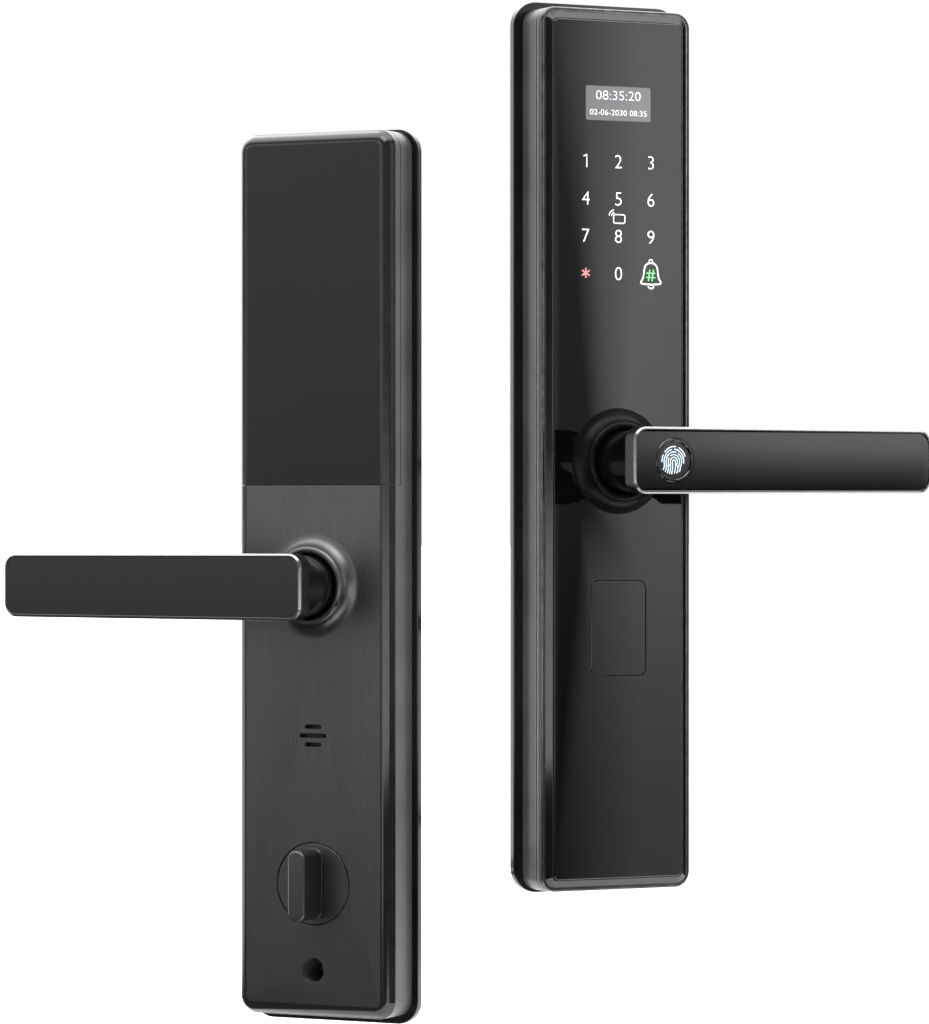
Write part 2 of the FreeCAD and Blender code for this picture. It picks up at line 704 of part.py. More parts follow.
def spindle_set():
    hub_front = outdoor_rim - 1.2
    hub_back = stem_end + 0.1
    hub = disc(hub_radius, hub_back, hub_front)
    square = spindle_size + 2 * running
    hub = hub.cut(block(square, square, hub_back, hub_front - 1.0))
    pin_seat = hub_radius - clutch_travel - 0.1
    hub = hub.cut(standing(clutch_pin_radius + 2 * running, 2.0, clutch_depth, pin_seat))
    save_outdoor("spindle_hub", hub)
    rod = block(spindle_size, spindle_size, -spindle_reach, hub_front - 1.2)
    long_edges = [edge for edge in rod.Edges if abs(edge.Vertexes[0].Y - edge.Vertexes[1].Y) > 1]
    save_outdoor("spindle", rod.makeChamfer(0.6, long_edges))


def clutch():
    pin_inner = hub_radius + 0.1
    pin = Part.makeCylinder(clutch_pin_radius, slider_foot - seated - pin_inner,
                            Vector(0, -clutch_depth, pin_inner), Vector(0, 0, 1))
    save_outdoor("clutch_pin", pin)
    slider_back = plate_front + sliding
    slider_front = outdoor["groove_back"] - sliding
    slider_top = slider_foot + slider_height
    motor_depth = plate_front + 4.5
    nut_z = slider_top - 2.0
    slider = block(slider_width, slider_height, slider_back, slider_front, 0, (slider_top + slider_foot) / 2)
    slider = slider.fuse(block(6.0, 3.0, slider_front, motor_depth + 2.6, 0, nut_z + 0.5))
    worm_start = nut_z - 3.0
    motor_start = nut_z + 4.0
    way = standing(worm_radius + running, 40, motor_depth, worm_start - 2)
    slider = slider.cut(way)
    save_outdoor("clutch_slider", slider)
    worm = standing(worm_radius, motor_start - sliding - worm_start, motor_depth, worm_start)
    for turn in range(worm_turns):
        z = worm_start + 0.7 + turn
        outer = standing(worm_radius + 1, 0.4, motor_depth, z)
        inner = standing(worm_radius - 0.4, 0.4, motor_depth, z)
        worm = worm.cut(outer.cut(inner))
    worm = worm.fuse(standing(motor_shaft_radius, 3.0, motor_depth, motor_start - sliding))
    save_outdoor("clutch_worm", worm)
    can = standing(motor_radius, motor_length, motor_depth, motor_start)
    can = can.cut(standing(motor_shaft_radius + running, 3.2, motor_depth, motor_start))
    save_outdoor("clutch_motor", can)


def key_cylinder():
    z = -key_cylinder_drop
    body_front = outdoor_shoulder + cylinder_flange_thickness
    body_back = plate_front + 1.2
    wall_back = outdoor_shoulder - outdoor_wall
    body = disc(cylinder_radius, body_back, outdoor_shoulder, 0, z)
    body = body.fuse(disc(cylinder_flange, outdoor_shoulder, body_front, 0, z))
    body = body.cut(disc(plug_radius + running, body_back, body_front, 0, z))
    save_outdoor("key_cylinder_body", body.removeSplitter())
    nut_back = wall_back - nut_thickness
    nut_corner = (cylinder_radius + 3.0) / math.cos(math.pi / 6)
    corners = [Vector(nut_corner * math.cos(math.radians(60 * k)), -nut_back,
                      z + nut_corner * math.sin(math.radians(60 * k))) for k in range(7)]
    nut = Part.Face(Part.makePolygon(corners)).extrude(Vector(0, nut_back - wall_back, 0))
    save_outdoor("key_cylinder_nut", nut.cut(disc(cylinder_radius + seated, nut_back, wall_back, 0, z)))
    plug = disc(plug_radius, body_back, body_front + 0.3, 0, z)
    plug = plug.cut(block(1.3, 8.2, body_front - 8.0, body_front + 0.3, 0, z))
    slot_back, slot_front = body_back, body_back + 1.6
    plug = plug.cut(block(tail_thickness + 2 * seated, tail_width + 2 * seated, slot_back, slot_front, 0, z))
    save_outdoor("key_cylinder_plug", plug)
    tail = block(tail_thickness, tail_width, -tail_reach, body_back + 1.5, 0, z)
    save_outdoor("key_cylinder_tailpiece", tail)


def key_cover():
    z = -key_cylinder_drop
    cover = tapered_slab(key_cover_width, key_cover_height, key_cover_corner,
                         [(0, outdoor_rim + seated), (0, outdoor_face - 0.25), (0.25, outdoor_face)], z)
    lug_x = cover_well_width / 2 - sliding - 0.6
    for side in (-1, 1):
        cover = cover.fuse(block(1.2, 12.0, outdoor_rim - 2.0, outdoor_rim + 1.0, side * lug_x, z))
    save_outdoor("key_cover", cover.removeSplitter())


def usb_power_socket():
    z_low = panel_bottom + 0.3
    depth_back = usb_centre - usb_depth / 2
    depth_front = usb_centre + usb_depth / 2
    shell = Part.makeBox(usb_width, usb_depth, 7.0, Vector(-usb_width / 2, -depth_front, z_low))
    hollow = Part.makeBox(usb_width - 0.6, usb_depth - 0.6, 6.0,
                          Vector(-usb_width / 2 + 0.3, -depth_front + 0.3, z_low))
    tongue = Part.makeBox(usb_width - 2.2, 0.7, 5.5,
                          Vector(-usb_width / 2 + 1.1, -usb_centre - 0.35, z_low + 0.8))
    board = Part.makeBox(20.0, board_thickness, 12.0, Vector(-10.0, -depth_back + seated, z_low + 2.2))
    mount = Part.makeBox(16.0, depth_back - board_thickness - plate_front - seated, 5.0,
                         Vector(-8.0, -depth_back + board_thickness + seated, z_low + 8.0))
    save_outdoor("usb_power_socket", shell.cut(hollow).fuse(tongue), board.fuse(mount))


outdoor_back_plate()
mounting_posts()
outdoor_plate_screws()
outdoor_housing()
face_width, face_height = outdoor_frame()
front_panel(face_width, face_height)
display()
touch_keypad()
control_board()
outdoor_handle()
spindle_set()
clutch()
key_cylinder()
key_cover()
usb_power_socket()

# ---- indoor half
indoor_plate_rise = 2 * panel_rise - outdoor_plate_rise
plate_floor = plate_back + 1.6
plate_lip = 7.0
indoor = handle_set(indoor_lever_front, indoor_wall_back, -1)
skirt_back = indoor_face - battery_cover_skirt
bay_wall = 2.0
bay_top_screw = panel_top - 13.0


def indoor_outer():
    """The whole indoor casing as a solid: straight sides, a small edge, then a rolled bevel to its face."""
    edge = 0.4
    roll = rolled(indoor_bevel_width - edge, indoor_bevel_rise, indoor_shoulder, indoor_roll_start, 6)
    profile = [(0, plate_front), (0, indoor_shoulder - edge)]
    profile += [(edge + inset, depth) for inset, depth in roll]
    return tapered_slab(indoor_width, panel_height, indoor_corner, profile, panel_rise)


def above(shape, height):
    return shape.common(block(200, 400, -50, 50, 0, height + 200))


def indoor_back_plate():
    plate = slab(indoor_plate_width, plate_height, indoor_plate_corner, plate_back, plate_front, 0,
                 indoor_plate_rise)
    plate = plate.cut(slab(indoor_plate_width - 2 * plate_lip, plate_height - 2 * plate_lip,
                           indoor_plate_corner - 5.0, plate_floor, plate_front, 0, indoor_plate_rise))
    plate = plate.cut(disc(spindle_size, plate_back, plate_floor))
    plate = plate.cut(disc(thumbturn_square, plate_back, plate_floor, 0, -thumbturn_drop))
    plate = plate.cut(slab(cable_opening_width, cable_opening_height, 2.0, plate_back, plate_floor, 0,
                           indoor_cable_rise))
    for x, z in bolts:
        plate = plate.fuse(disc(6.0, plate_back, plate_floor + 1.6, x, z))
        plate = plate.cut(disc(bolt_radius + 0.25, plate_back, plate_front, x, z))
    for z in (-fixing_drop, bay_top_screw):
        plate = plate.fuse(disc(4.5, plate_floor, plate_front, 0, z))
        plate = plate.cut(disc(2.0 + seated, plate_back, plate_front, 0, z))
    save_indoor("indoor_back_plate", plate.removeSplitter())


def indoor_housing():
    body = indoor_outer()
    inner_width = indoor_width - 2 * bay_wall
    inner_height = panel_height - 2 * bay_wall
    cavity = slab(inner_width, inner_height, indoor_corner - bay_wall, plate_front, indoor_wall_back, 0,
                  panel_rise)
    slope = tapered_slab(indoor_width, panel_height, indoor_corner,
                         [(bay_wall, plate_front), (bay_wall, indoor_shoulder - 1.0),
                          (indoor_bevel_width, indoor_wall_back)], panel_rise)
    body = body.cut(cavity.common(slope))
    body = body.cut(above(slab(indoor_width + 2, panel_height + 2, 3.0, skirt_back, indoor_face + 1, 0,
                               panel_rise), battery_cover_bottom))
    body = body.fuse(block(inner_width, bay_wall, plate_front, skirt_back - sliding, 0,
                           battery_cover_bottom - bay_wall / 2))
    divider = block(inner_width - 8, bay_wall, skirt_back - sliding, indoor_wall_back, 0,
                    battery_cover_bottom - bay_wall / 2)
    body = body.fuse(divider)
    lip_inset = battery_cover_wall + 0.4
    lip = slab(indoor_width - 2 * lip_inset, panel_height - 2 * lip_inset, indoor_corner - lip_inset,
               skirt_back - 2.0, indoor_shoulder - 0.6, 0, panel_rise)
    lip_hole = slab(indoor_width - 2 * lip_inset - 2.6, panel_height - 2 * lip_inset - 2.6,
                    indoor_corner - lip_inset - 1.3, skirt_back - 2.0, indoor_shoulder, 0, panel_rise)
    body = body.fuse(above(lip.cut(lip_hole), battery_cover_bottom))
    shelf = block(inner_width, 7.0, skirt_back - 2.2, skirt_back - sliding, 0, battery_cover_bottom + 3.5)
    body = body.fuse(shelf)
    body = body.cut(disc(2.5 + running, 0, 30, -20.0, battery_cover_bottom + 3.6))
    for z, seat in ((-fixing_drop, plate_front), (bay_top_screw, plate_front)):
        body = body.fuse(disc(7.0, seat + seated, seat + 2.2, 0, z))
    body = body.fuse(block(14.0, 14.0, plate_front + seated, plate_front + 2.2, 0, bay_top_screw + 6.0))
    body = body.fuse(disc(7.0, plate_front + seated, indoor_wall_back, 0, -fixing_drop))
    body = body.cut(disc(fixing_hole_radius, plate_front + 2.2, indoor_face + 1, 0, -fixing_drop))
    for z in (-fixing_drop, bay_top_screw):
        body = body.cut(disc(2.2, plate_front, plate_front + 2.2, 0, z))
    body = body.fuse(indoor["tube"])
    body = body.fuse(disc(bore_radius + tube_wall, indoor_wall_back - tube_wall, indoor_wall_back))
    body = body.cut(disc(bore_radius, indoor_wall_back, indoor_face))
    body = body.fuse(flare(indoor_face, indoor_wall))
    body = body.cut(indoor["tube_bore"])
    for x, z in indoor["stop_posts"]:
        body = body.fuse(disc(stop_post_radius, indoor["stop_back"] - 0.2, indoor_wall_back, x, z))
    for row, length in ((1, slot_short), (0, slot_long), (-1, slot_short)):
        slot = slab(length, slot_height, slot_height / 2 - 0.01, indoor_wall_back, indoor_face + 1, 0,
                    -slot_drop + row * slot_pitch)
        body = body.cut(slot)
    body = body.cut(disc(thumbturn_radius + thumbturn_gap, indoor_wall_back, indoor_face + 1, 0,
                         -thumbturn_drop))
    for x, z in indoor_board_spots:
        body = body.fuse(disc(board_post_radius, indoor_board_front, indoor_wall_back, x, z))
        body = body.cut(disc(board_screw_radius + seated, indoor_board_front, indoor_board_front + 3.0, x, z))
    for x, z in bracket_spots:
        body = body.fuse(disc(board_post_radius, bracket_front, indoor_wall_back, x, z))
        body = body.cut(disc(board_screw_radius + seated, bracket_front, bracket_front + 1.8, x, z))
    save_indoor("indoor_housing", body.removeSplitter())


def battery_cover():
    inner = tapered_slab(indoor_width, panel_height, indoor_corner,
                         [(battery_cover_wall, plate_front), (battery_cover_wall, indoor_shoulder),
                          (indoor_bevel_width, indoor_face - battery_cover_wall)], panel_rise)
    cover = indoor_outer().cut(inner)
    cover = cover.common(slab(indoor_width + 2, panel_height + 2, 3.0, skirt_back + seam, indoor_face + 1, 0,
                              panel_rise))
    cover = above(cover, battery_cover_bottom + seam)
    save_indoor("battery_cover", cover)


cell_floor = plate_floor + 0.8
cell_depth = cell_floor + cell_radius + 0.05
row_pitch = cell_length + nub_length + contact_room
tray_inner_height = cell_rows * row_pitch + tray_play
tray_bottom = battery_cover_bottom + 9.0
tray_centre = tray_bottom + tray_wall + tray_inner_height / 2


def cell_places():
    places = []
    for column in range(cell_columns):
        for row in range(cell_rows):
            x = (column - (cell_columns - 1) / 2) * cell_pitch
            z = tray_bottom + tray_wall + tray_play / 2 + contact_room + row * row_pitch
            places.append((x, z, column % 2 == 0))
    return places


def battery_pack():
    tray = block(tray_inner_width + 2 * tray_wall, tray_inner_height + 2 * tray_wall, plate_floor + seated,
                 cell_floor + tray_depth, 0, tray_centre)
    tray = tray.cut(block(tray_inner_width, tray_inner_height, cell_floor, cell_floor + tray_depth + 1, 0,
                          tray_centre))
    save_indoor("battery_tray", tray)
    cells = []
    contacts = []
    for x, z, nub_up in cell_places():
        body = standing(cell_radius, cell_length, cell_depth, z, x)
        if nub_up:
            nub = standing(nub_radius, nub_length, cell_depth, z + cell_length, x)
        else:
            nub = Part.makeCylinder(nub_radius, nub_length, Vector(x, -cell_depth, z), Vector(0, 0, -1))
        cells.append(body.fuse(nub))
        low = z - contact_room + 0.2
        contact = Part.makeBox(1.4 * cell_radius, cell_radius + 2.0, 0.4,
                               Vector(x - 0.7 * cell_radius, -cell_depth - 2.0, low))
        button_height = contact_room - 0.7 if nub_up else contact_room - nub_length - 0.7
        button = Part.makeCone(nub_radius + 0.5, nub_radius - 0.7, button_height,
                               Vector(x, -cell_depth, low + 0.4), Vector(0, 0, 1))
        contacts.append(contact.fuse(button))
    save_indoor("battery_cells", *cells)
    save_indoor("battery_contacts", *contacts)


indoor_board_back = plate_front + board_standoff
indoor_board_front = indoor_board_back + board_thickness
indoor_board_spots = grid(indoor_board_width - 2 * indoor_screw_inset,
                          indoor_board_height - 2 * indoor_screw_inset, indoor_board_centre)
bracket_front = indoor_wall_back - 2.1
bracket_spots = grid(bracket_width - 2 * bracket_screw_inset_x, bracket_height - 2 * bracket_screw_inset_z,
                     -thumbturn_drop)


def indoor_electronics():
    board = slab(indoor_board_width, indoor_board_height, board_corner, indoor_board_back, indoor_board_front,
                 0, indoor_board_centre)
    for x, z in indoor_board_spots:
        board = board.cut(disc(board_screw_hole, indoor_board_back, indoor_board_front, x, z))
    board = board.fuse(block(12.0, 12.0, indoor_board_front, indoor_board_front + 1.4, -16.0, -88.0))
    board = board.fuse(block(13.0, 6.0, indoor_board_back - 3.0, indoor_board_back, 14.0, -36.0))
    save_indoor("indoor_circuit_board", board)
    board_screws = [pan_screw(board_screw_radius, indoor_board_back, False, board_thickness + 2.4, x, z)
                    for x, z in indoor_board_spots]
    bracket_screws = [pan_screw(board_screw_radius, bracket_front - bracket_thickness, False,
                                bracket_thickness + 1.6, x, z) for x, z in bracket_spots]
    save_indoor("indoor_small_screws", *board_screws, *bracket_screws)
    speaker = disc(speaker_radius, indoor_board_front + 1.5, indoor_wall_back - 0.3, 0, -slot_drop)
    magnet_radius = speaker_radius - 5.0
    cone_radius = speaker_radius - 2.0
    cone_back = indoor_wall_back - 1.3
    speaker = speaker.fuse(disc(magnet_radius, indoor_board_front, indoor_board_front + 1.5, 0, -slot_drop))
    speaker = speaker.cut(disc(cone_radius, cone_back, indoor_wall_back - 0.3, 0, -slot_drop))
    speaker = speaker.fuse(disc(4.0, cone_back, cone_back + 0.6, 0, -slot_drop))
    save_indoor("speaker", speaker)


def indoor_handle():
    square = spindle_size + 4 * running
    neck = indoor["neck"].cut(block(square, square, stem_end, indoor_wall_back))
    save_indoor("indoor_neck", neck)
    save_indoor("indoor_lever", indoor["lever"])
    save_indoor("indoor_lever_face", indoor["lever_face"])
    save_indoor("indoor_handle_bush", indoor["bush"])
    save_indoor("indoor_stop_plate", indoor["stop_plate"])
    save_indoor("indoor_retaining_ring", indoor["retaining_ring"])
    save_indoor("indoor_return_spring", indoor["return_spring"])


def thumbturn():
    z = -thumbturn_drop
    flange_front = indoor_wall_back - sliding
    flange_back = bracket_front + sliding
    face = indoor_face - 0.1
    knob = disc(thumbturn_radius, flange_back, face, 0, z)
    knob = knob.fuse(disc(thumbturn_radius + thumbturn_flange, flange_back, flange_front, 0, z))
    knob = knob.fuse(disc(thumbturn_boss_radius, bracket_front - 5.0, flange_back, 0, z))
    paddle = slab(paddle_width, paddle_height, paddle_width / 2 - 0.6, face, face + paddle_reach, 0, z)
    crown = [edge for edge in paddle.Edges if edge.BoundBox.YMax < -(face + paddle_reach) + 0.001]
    paddle = paddle.makeFillet(0.9, crown)
    knob = knob.fuse(paddle)
    square = thumbturn_square + 2 * seated
    knob = knob.cut(block(square, square, bracket_front - 5.0, bracket_front, 0, z))
    save_indoor("thumbturn", knob.removeSplitter())
    shaft = block(thumbturn_square, thumbturn_square, -tail_reach, bracket_front - 0.2, 0, z)
    save_indoor("thumbturn_shaft", shaft)
    bracket = slab(bracket_width, bracket_height, 3.0, bracket_front - bracket_thickness, bracket_front, 0, z)
    bracket = bracket.cut(disc(thumbturn_boss_radius + running, bracket_front - 2, bracket_front, 0, z))
    for x, spot_z in bracket_spots:
        bracket = bracket.cut(disc(board_screw_hole, bracket_front - 2, bracket_front, x, spot_z))
    save_indoor("thumbturn_bracket", bracket)
    cam = block(cam_size, cam_size, bracket_front - 4.4, bracket_front - 1.8, 0, z)
    upright = [edge for edge in cam.Edges if abs(edge.Vertexes[0].Y - edge.Vertexes[1].Y) > 0.1]
    cam = cam.makeChamfer(cam_corner, upright)
    cam = cam.cut(disc(thumbturn_boss_radius + seated, bracket_front - 5, bracket_front, 0, z))
    save_indoor("thumbturn_cam", cam)
    cam_reach = math.hypot(cam_size / 2, cam_size / 2 - cam_corner)
    leaf = block(1.0, leaf_length, bracket_front - 4.0, bracket_front - 1.6, cam_reach + 0.3 + 0.5, z)
    save_indoor("thumbturn_leaf_spring", leaf)


def indoor_fasteners_and_button():
    seat = plate_front + 2.2
    screws = [pan_screw(2.0, seat, True, seat - plate_floor, 0, z) for z in (-fixing_drop, bay_top_screw)]
    save_indoor("housing_fixing_screws", *screws)
    button_x = -20.0
    button_z = battery_cover_bottom + 3.6
    shelf_back = skirt_back - 2.2
    switch_top = plate_floor + 2.8
    button = disc(2.5, switch_top + 0.6, skirt_back + 1.2, button_x, button_z)
    button = button.fuse(disc(3.3, switch_top + 0.6, shelf_back - sliding, button_x, button_z))
    save_indoor("setup_button", button.removeSplitter())
    save_indoor("setup_switch", block(6.0, 6.0, plate_floor, switch_top, button_x, button_z))


save_outdoor("door_gaskets", door_gasket(outdoor_plate_width, outdoor_plate_corner, outdoor_plate_rise),
             beside(door_gasket(indoor_plate_width, indoor_plate_corner, indoor_plate_rise)))
indoor_back_plate()
indoor_housing()
battery_cover()
battery_pack()
indoor_electronics()
indoor_handle()
thumbturn()
indoor_fasteners_and_button()
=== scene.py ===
# %% [markdown]
# # Keypad smart lock: the looks
# The lock comes as two full-length halves that stand side by side. The outdoor half has a glossy keypad
# panel in a bevelled frame, a lever with a fingerprint sensor and a hidden key hole. The indoor half has a
# brushed housing, a battery cover, its own lever and a thumbturn. The working parts are already built, so
# they come in first as a fixed frame, and everything below adds finish and printed detail to them.

# %% Load the working parts
import bpy
import json
import math
from mathutils import Matrix, Vector

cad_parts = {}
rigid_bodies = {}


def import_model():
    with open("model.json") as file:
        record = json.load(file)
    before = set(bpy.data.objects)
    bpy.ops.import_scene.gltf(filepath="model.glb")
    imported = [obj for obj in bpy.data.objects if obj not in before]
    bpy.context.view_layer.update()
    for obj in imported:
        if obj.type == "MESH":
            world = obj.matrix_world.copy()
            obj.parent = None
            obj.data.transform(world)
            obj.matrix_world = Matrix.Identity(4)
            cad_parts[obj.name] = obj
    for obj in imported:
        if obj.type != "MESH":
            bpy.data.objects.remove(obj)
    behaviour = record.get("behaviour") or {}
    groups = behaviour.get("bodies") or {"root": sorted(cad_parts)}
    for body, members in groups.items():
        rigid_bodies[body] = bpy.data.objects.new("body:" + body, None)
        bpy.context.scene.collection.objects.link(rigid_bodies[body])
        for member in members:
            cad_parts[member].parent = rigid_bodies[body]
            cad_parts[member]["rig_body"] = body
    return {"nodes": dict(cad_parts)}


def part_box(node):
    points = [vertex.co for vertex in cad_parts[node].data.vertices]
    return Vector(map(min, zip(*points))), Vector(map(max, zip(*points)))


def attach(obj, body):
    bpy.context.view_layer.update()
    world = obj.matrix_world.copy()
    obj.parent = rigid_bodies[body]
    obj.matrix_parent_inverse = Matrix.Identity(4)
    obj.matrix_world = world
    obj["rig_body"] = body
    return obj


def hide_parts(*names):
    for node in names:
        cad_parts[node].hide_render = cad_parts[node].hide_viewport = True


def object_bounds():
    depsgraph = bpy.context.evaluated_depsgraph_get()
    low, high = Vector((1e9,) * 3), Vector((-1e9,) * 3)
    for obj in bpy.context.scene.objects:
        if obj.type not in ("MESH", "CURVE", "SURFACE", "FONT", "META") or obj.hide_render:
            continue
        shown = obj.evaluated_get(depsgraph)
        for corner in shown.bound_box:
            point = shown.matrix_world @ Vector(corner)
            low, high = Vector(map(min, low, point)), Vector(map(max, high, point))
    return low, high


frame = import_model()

nodes = frame["nodes"]
cad_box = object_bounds()
mm = 0.001
print("working parts:", len(nodes))

# %% [markdown]
# ## Where things are
# Each half is easiest to think about face on: x to the right, z up, and depth counted out of the door. The
# outdoor half stands square to the scene, so it needs no frame of its own. The indoor half is the same kind
# of plate, moved aside and turned by 55.5 degrees, and indoor_place takes points from face on to where it
# stands. Reading the thumbturn back through it is a good test: it lies near the half's centre line, low on
# the plate.

# %% The indoor half's own frame
indoor_turn = math.radians(-55.5)
indoor_place = Matrix.Translation(Vector((-101.6, 41.7, -53.6)) * mm) @ Matrix.Rotation(indoor_turn, 4, "Z")


def middle(node):
    """Centre of a node's box, in metres."""
    low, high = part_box(node)
    return (low + high) / 2


thumbturn_spot = indoor_place.inverted() @ middle("thumbturn")
print("thumbturn in its own half, mm:", [round(c / mm, 1) for c in thumbturn_spot])

# %% [markdown]
# ## Camera
# The lock is shown level, from about two metres away, from a place where both halves turn roughly 28
# degrees from the line of sight. A long lens keeps the two tall plates almost free of perspective.

# %% Camera
bpy.ops.object.camera_add(location=(-1.0304, -1.8554, -0.0219),
                          rotation=(math.radians(90), 0, math.radians(-27.55)))
camera = bpy.context.object
camera.name = "camera"
camera.data.sensor_width = 36
camera.data.lens = 171.2
bpy.context.scene.camera = camera
bpy.context.scene.view_settings.view_transform = "Standard"
print("camera lens, mm:", round(camera.data.lens, 1))

# %% [markdown]
# ## Colours and nodes
# Colours are written as the sRGB hex values a painter would pick, and one function turns them to the linear
# values that shading uses. A second function adds one shader node with its settings and its links, and
# every finish below is made with those two.

# %% Colours, nodes and new finishes
def linear(hex_colour):
    """sRGB hex, such as "1a1a1b", to linear RGBA."""
    channels = [int(hex_colour[i:i + 2], 16) / 255 for i in (0, 2, 4)]
    return [c / 12.92 if c <= 0.04045 else ((c + 0.055) / 1.055) ** 2.4 for c in channels] + [1.0]


def add_node(tree, kind, values=None, links=None):
    """Add one node: values set its sockets or properties, links join its sockets to other nodes' outputs."""
    node = tree.nodes.new("ShaderNode" + kind)
    for name, value in (values or {}).items():
        if name in node.inputs:
            node.inputs[name].default_value = value
        else:
            setattr(node, name, value)
    for name, source in (links or {}).items():
        tree.links.new(source, node.inputs[name])
    return node


def new_finish(name, colour, roughness, metallic=0.0, ior=1.5):
    """A material with one Principled shader, and the coordinates its patterns are drawn on."""
    material = bpy.data.materials.new(name)
    material.use_nodes = True
    shader = material.node_tree.nodes["Principled BSDF"]
    shader.inputs["Base Color"].default_value = linear(colour)
    shader.inputs["Roughness"].default_value = roughness
    shader.inputs["Metallic"].default_value = metallic
    if metallic < 0.5:
        shader.inputs["IOR"].default_value = ior
    return material, shader, add_node(material.node_tree, "TexCoord").outputs["Object"]


print("linear mid grey:", round(linear("808080")[0], 3))

# %% [markdown]
# A working part has one material slot for each of its solids, and all of them take the same finish. The
# parts done are counted as they go, so that none is forgotten.

# %% Giving parts their finish
finished = set()


def finish_nodes(material, *names):
    """Give working parts their finish, and print which ones."""
    for name in names:
        for slot in nodes[name].material_slots:
            slot.material = material
    finished.update(names)
    print(len(finished), "finished, last in", material.name + ":", ", ".join(names))


print("parts to finish:", len(nodes))

# %% [markdown]
# Most finishes are uneven in the same three ways: a fine noise shifts their colour, their gloss or their
# height. Each way is a function of its own, and the size of every pattern is given in millimetres.

# %% Patterns
def noise(place, size, detail=2.0):
    """Noise with features about size millimetres across."""
    return add_node(place.id_data, "TexNoise", {"Scale": 1 / (size * mm), "Detail": detail},
                    {"Vector": place}).outputs["Fac"]


def ramp(factor, low, high, start, end):
    """Colours from low to high as factor goes from start to end."""
    node = add_node(factor.id_data, "ValToRGB", links={"Fac": factor})
    for element, position, colour in zip(node.color_ramp.elements, (start, end), (low, high)):
        element.position = position
        element.color = colour
    return node.outputs["Color"]


def vary_colour(shader, factor, dark, light, start=0.3, end=0.7):
    """Let the colour go from dark to light with a factor."""
    tint = ramp(factor, linear(dark), linear(light), start, end)
    shader.id_data.links.new(tint, shader.inputs["Base Color"])


def vary_roughness(shader, factor, smooth, dull):
    """Let the roughness go from smooth to dull with a factor."""
    change = add_node(shader.id_data, "MapRange", {"To Min": smooth, "To Max": dull}, {"Value": factor})
    shader.id_data.links.new(change.outputs["Result"], shader.inputs["Roughness"])


def add_bump(shader, factor, strength, height):
    """Let the surface rise with a factor, by height millimetres at full strength."""
    rise = add_node(shader.id_data, "Bump", {"Strength": strength, "Distance": height * mm},
                    {"Height": factor})
    shader.id_data.links.new(rise.outputs["Normal"], shader.inputs["Normal"])


print("pattern helpers ready")

# %% [markdown]
# ## Glossy keypad panel
# The panel is a sheet of black acrylic with a hard glossy face, and the key cover is cut from the same
# sheet. It could be a black tint over a printed layer, but nothing behind it shows except where it is lit,
# so a near-black plastic with a very smooth face is enough. Faint wiping marks, a few centimetres across,
# keep its gloss from looking drawn.

# %% Gloss acrylic
gloss_acrylic, shader, place = new_finish("gloss black acrylic", "050506", 0.03, ior=1.49)
# Cast acrylic, polished on both faces: a deep black with a mirror-like, even reflection.
vary_roughness(shader, noise(place, 35, 3.0), 0.02, 0.055)
finish_nodes(gloss_acrylic, "front_panel", "key_cover")

# %% [markdown]
# ## Black and graphite coats
# The outdoor housing, both back plates and both levers are zinc castings. The back plates have a nearly
# black, glossy electrophoretic coat. The side walls of both housings are sprayed with a graphite lacquer,
# which holds fine metal flake and so looks a warm dark grey even where nothing bright is mirrored in it.
# The levers' sides and backs have a satin powder coat, and the collar moulded on the keypad panel is
# printed matte black. Every coat has a slight orange peel, about half a millimetre across. Ambient
# occlusion could darken the corners, but noise is steadier from all sides.

# %% Coats
def sprayed_coat(name, dark, light, smooth, dull, peel_size, mirror=0.5):
    """A coat with a cloudy colour, an uneven sheen and a fine orange peel of peel_size millimetres.

    mirror is the strength of its reflection, 0.5 being that of plain lacquer."""
    coat, shader, place = new_finish(name, light, dull)
    peel, cloud = noise(place, peel_size), noise(place, 25, 3.0)
    vary_colour(shader, cloud, dark, light, 0.35, 0.65)
    vary_roughness(shader, cloud, smooth, dull)
    add_bump(shader, peel, 0.1, 0.02)
    shader.inputs["Specular IOR Level"].default_value = mirror
    return coat


black_coat = sprayed_coat("black electrophoretic coat on die-cast zinc", "060607", "0b0b0c", 0.12, 0.2, 0.7)
# Thin, smooth and nearly black: it shows only what it mirrors.
graphite_coat = sprayed_coat("graphite flake lacquer on die-cast zinc", "3a383b", "464447", 0.34, 0.42, 0.5)
# Fine metal flake under clear lacquer: warm dark grey with a broad soft sheen.
satin_coat = sprayed_coat("satin black powder coat", "060606", "0a0a0a", 0.3, 0.4, 0.4, mirror=0.25)
# A thin matte powder coat: it stays black at a slant, where the glossy coat turns grey.
collar_black = sprayed_coat("matte black ink on a moulded collar", "050505", "080808", 0.28, 0.38, 0.4,
                            mirror=0.1)
# Printed matte ink: it hides the collar's curves, which lacquer would draw in grey.
finish_nodes(black_coat, "outdoor_back_plate", "indoor_back_plate")
finish_nodes(graphite_coat, "outdoor_housing")

# %% [markdown]
# ## Bevelled frame and polished black parts
# The bevel round the panel, the two necks and the ring round the sensor carry a polished black plating
# under lacquer. It is smoother than the housing, so it mirrors the room sharply: bright where the room is
# bright above, black where it is dark in front.

# %% Polished black plate
black_gloss, shader, place = new_finish("polished black lacquered plating", "060607", 0.08, ior=1.6)
# Polished, plated and lacquered metal: black with crisp highlights and the odd softer patch.
vary_roughness(shader, noise(place, 12), 0.06, 0.13)
finish_nodes(black_gloss, "outdoor_frame", "outdoor_neck", "indoor_neck", "fingerprint_bezel")

# %% [markdown]
# ## Brushed indoor housing
# The indoor housing is aluminium, brushed up and down before a dark anodising. Brushing leaves lines a few
# hundredths of a millimetre wide; they are drawn at about a fifth of a millimetre here, because finer ones
# wouldn't show. The lines are noise stretched along z, used for colour, roughness and a slight bump.

# %% Brushed and anodised aluminium
brushed, shader, place = new_finish("brushed dark anodised aluminium", "656365", 0.36, metallic=1.0)
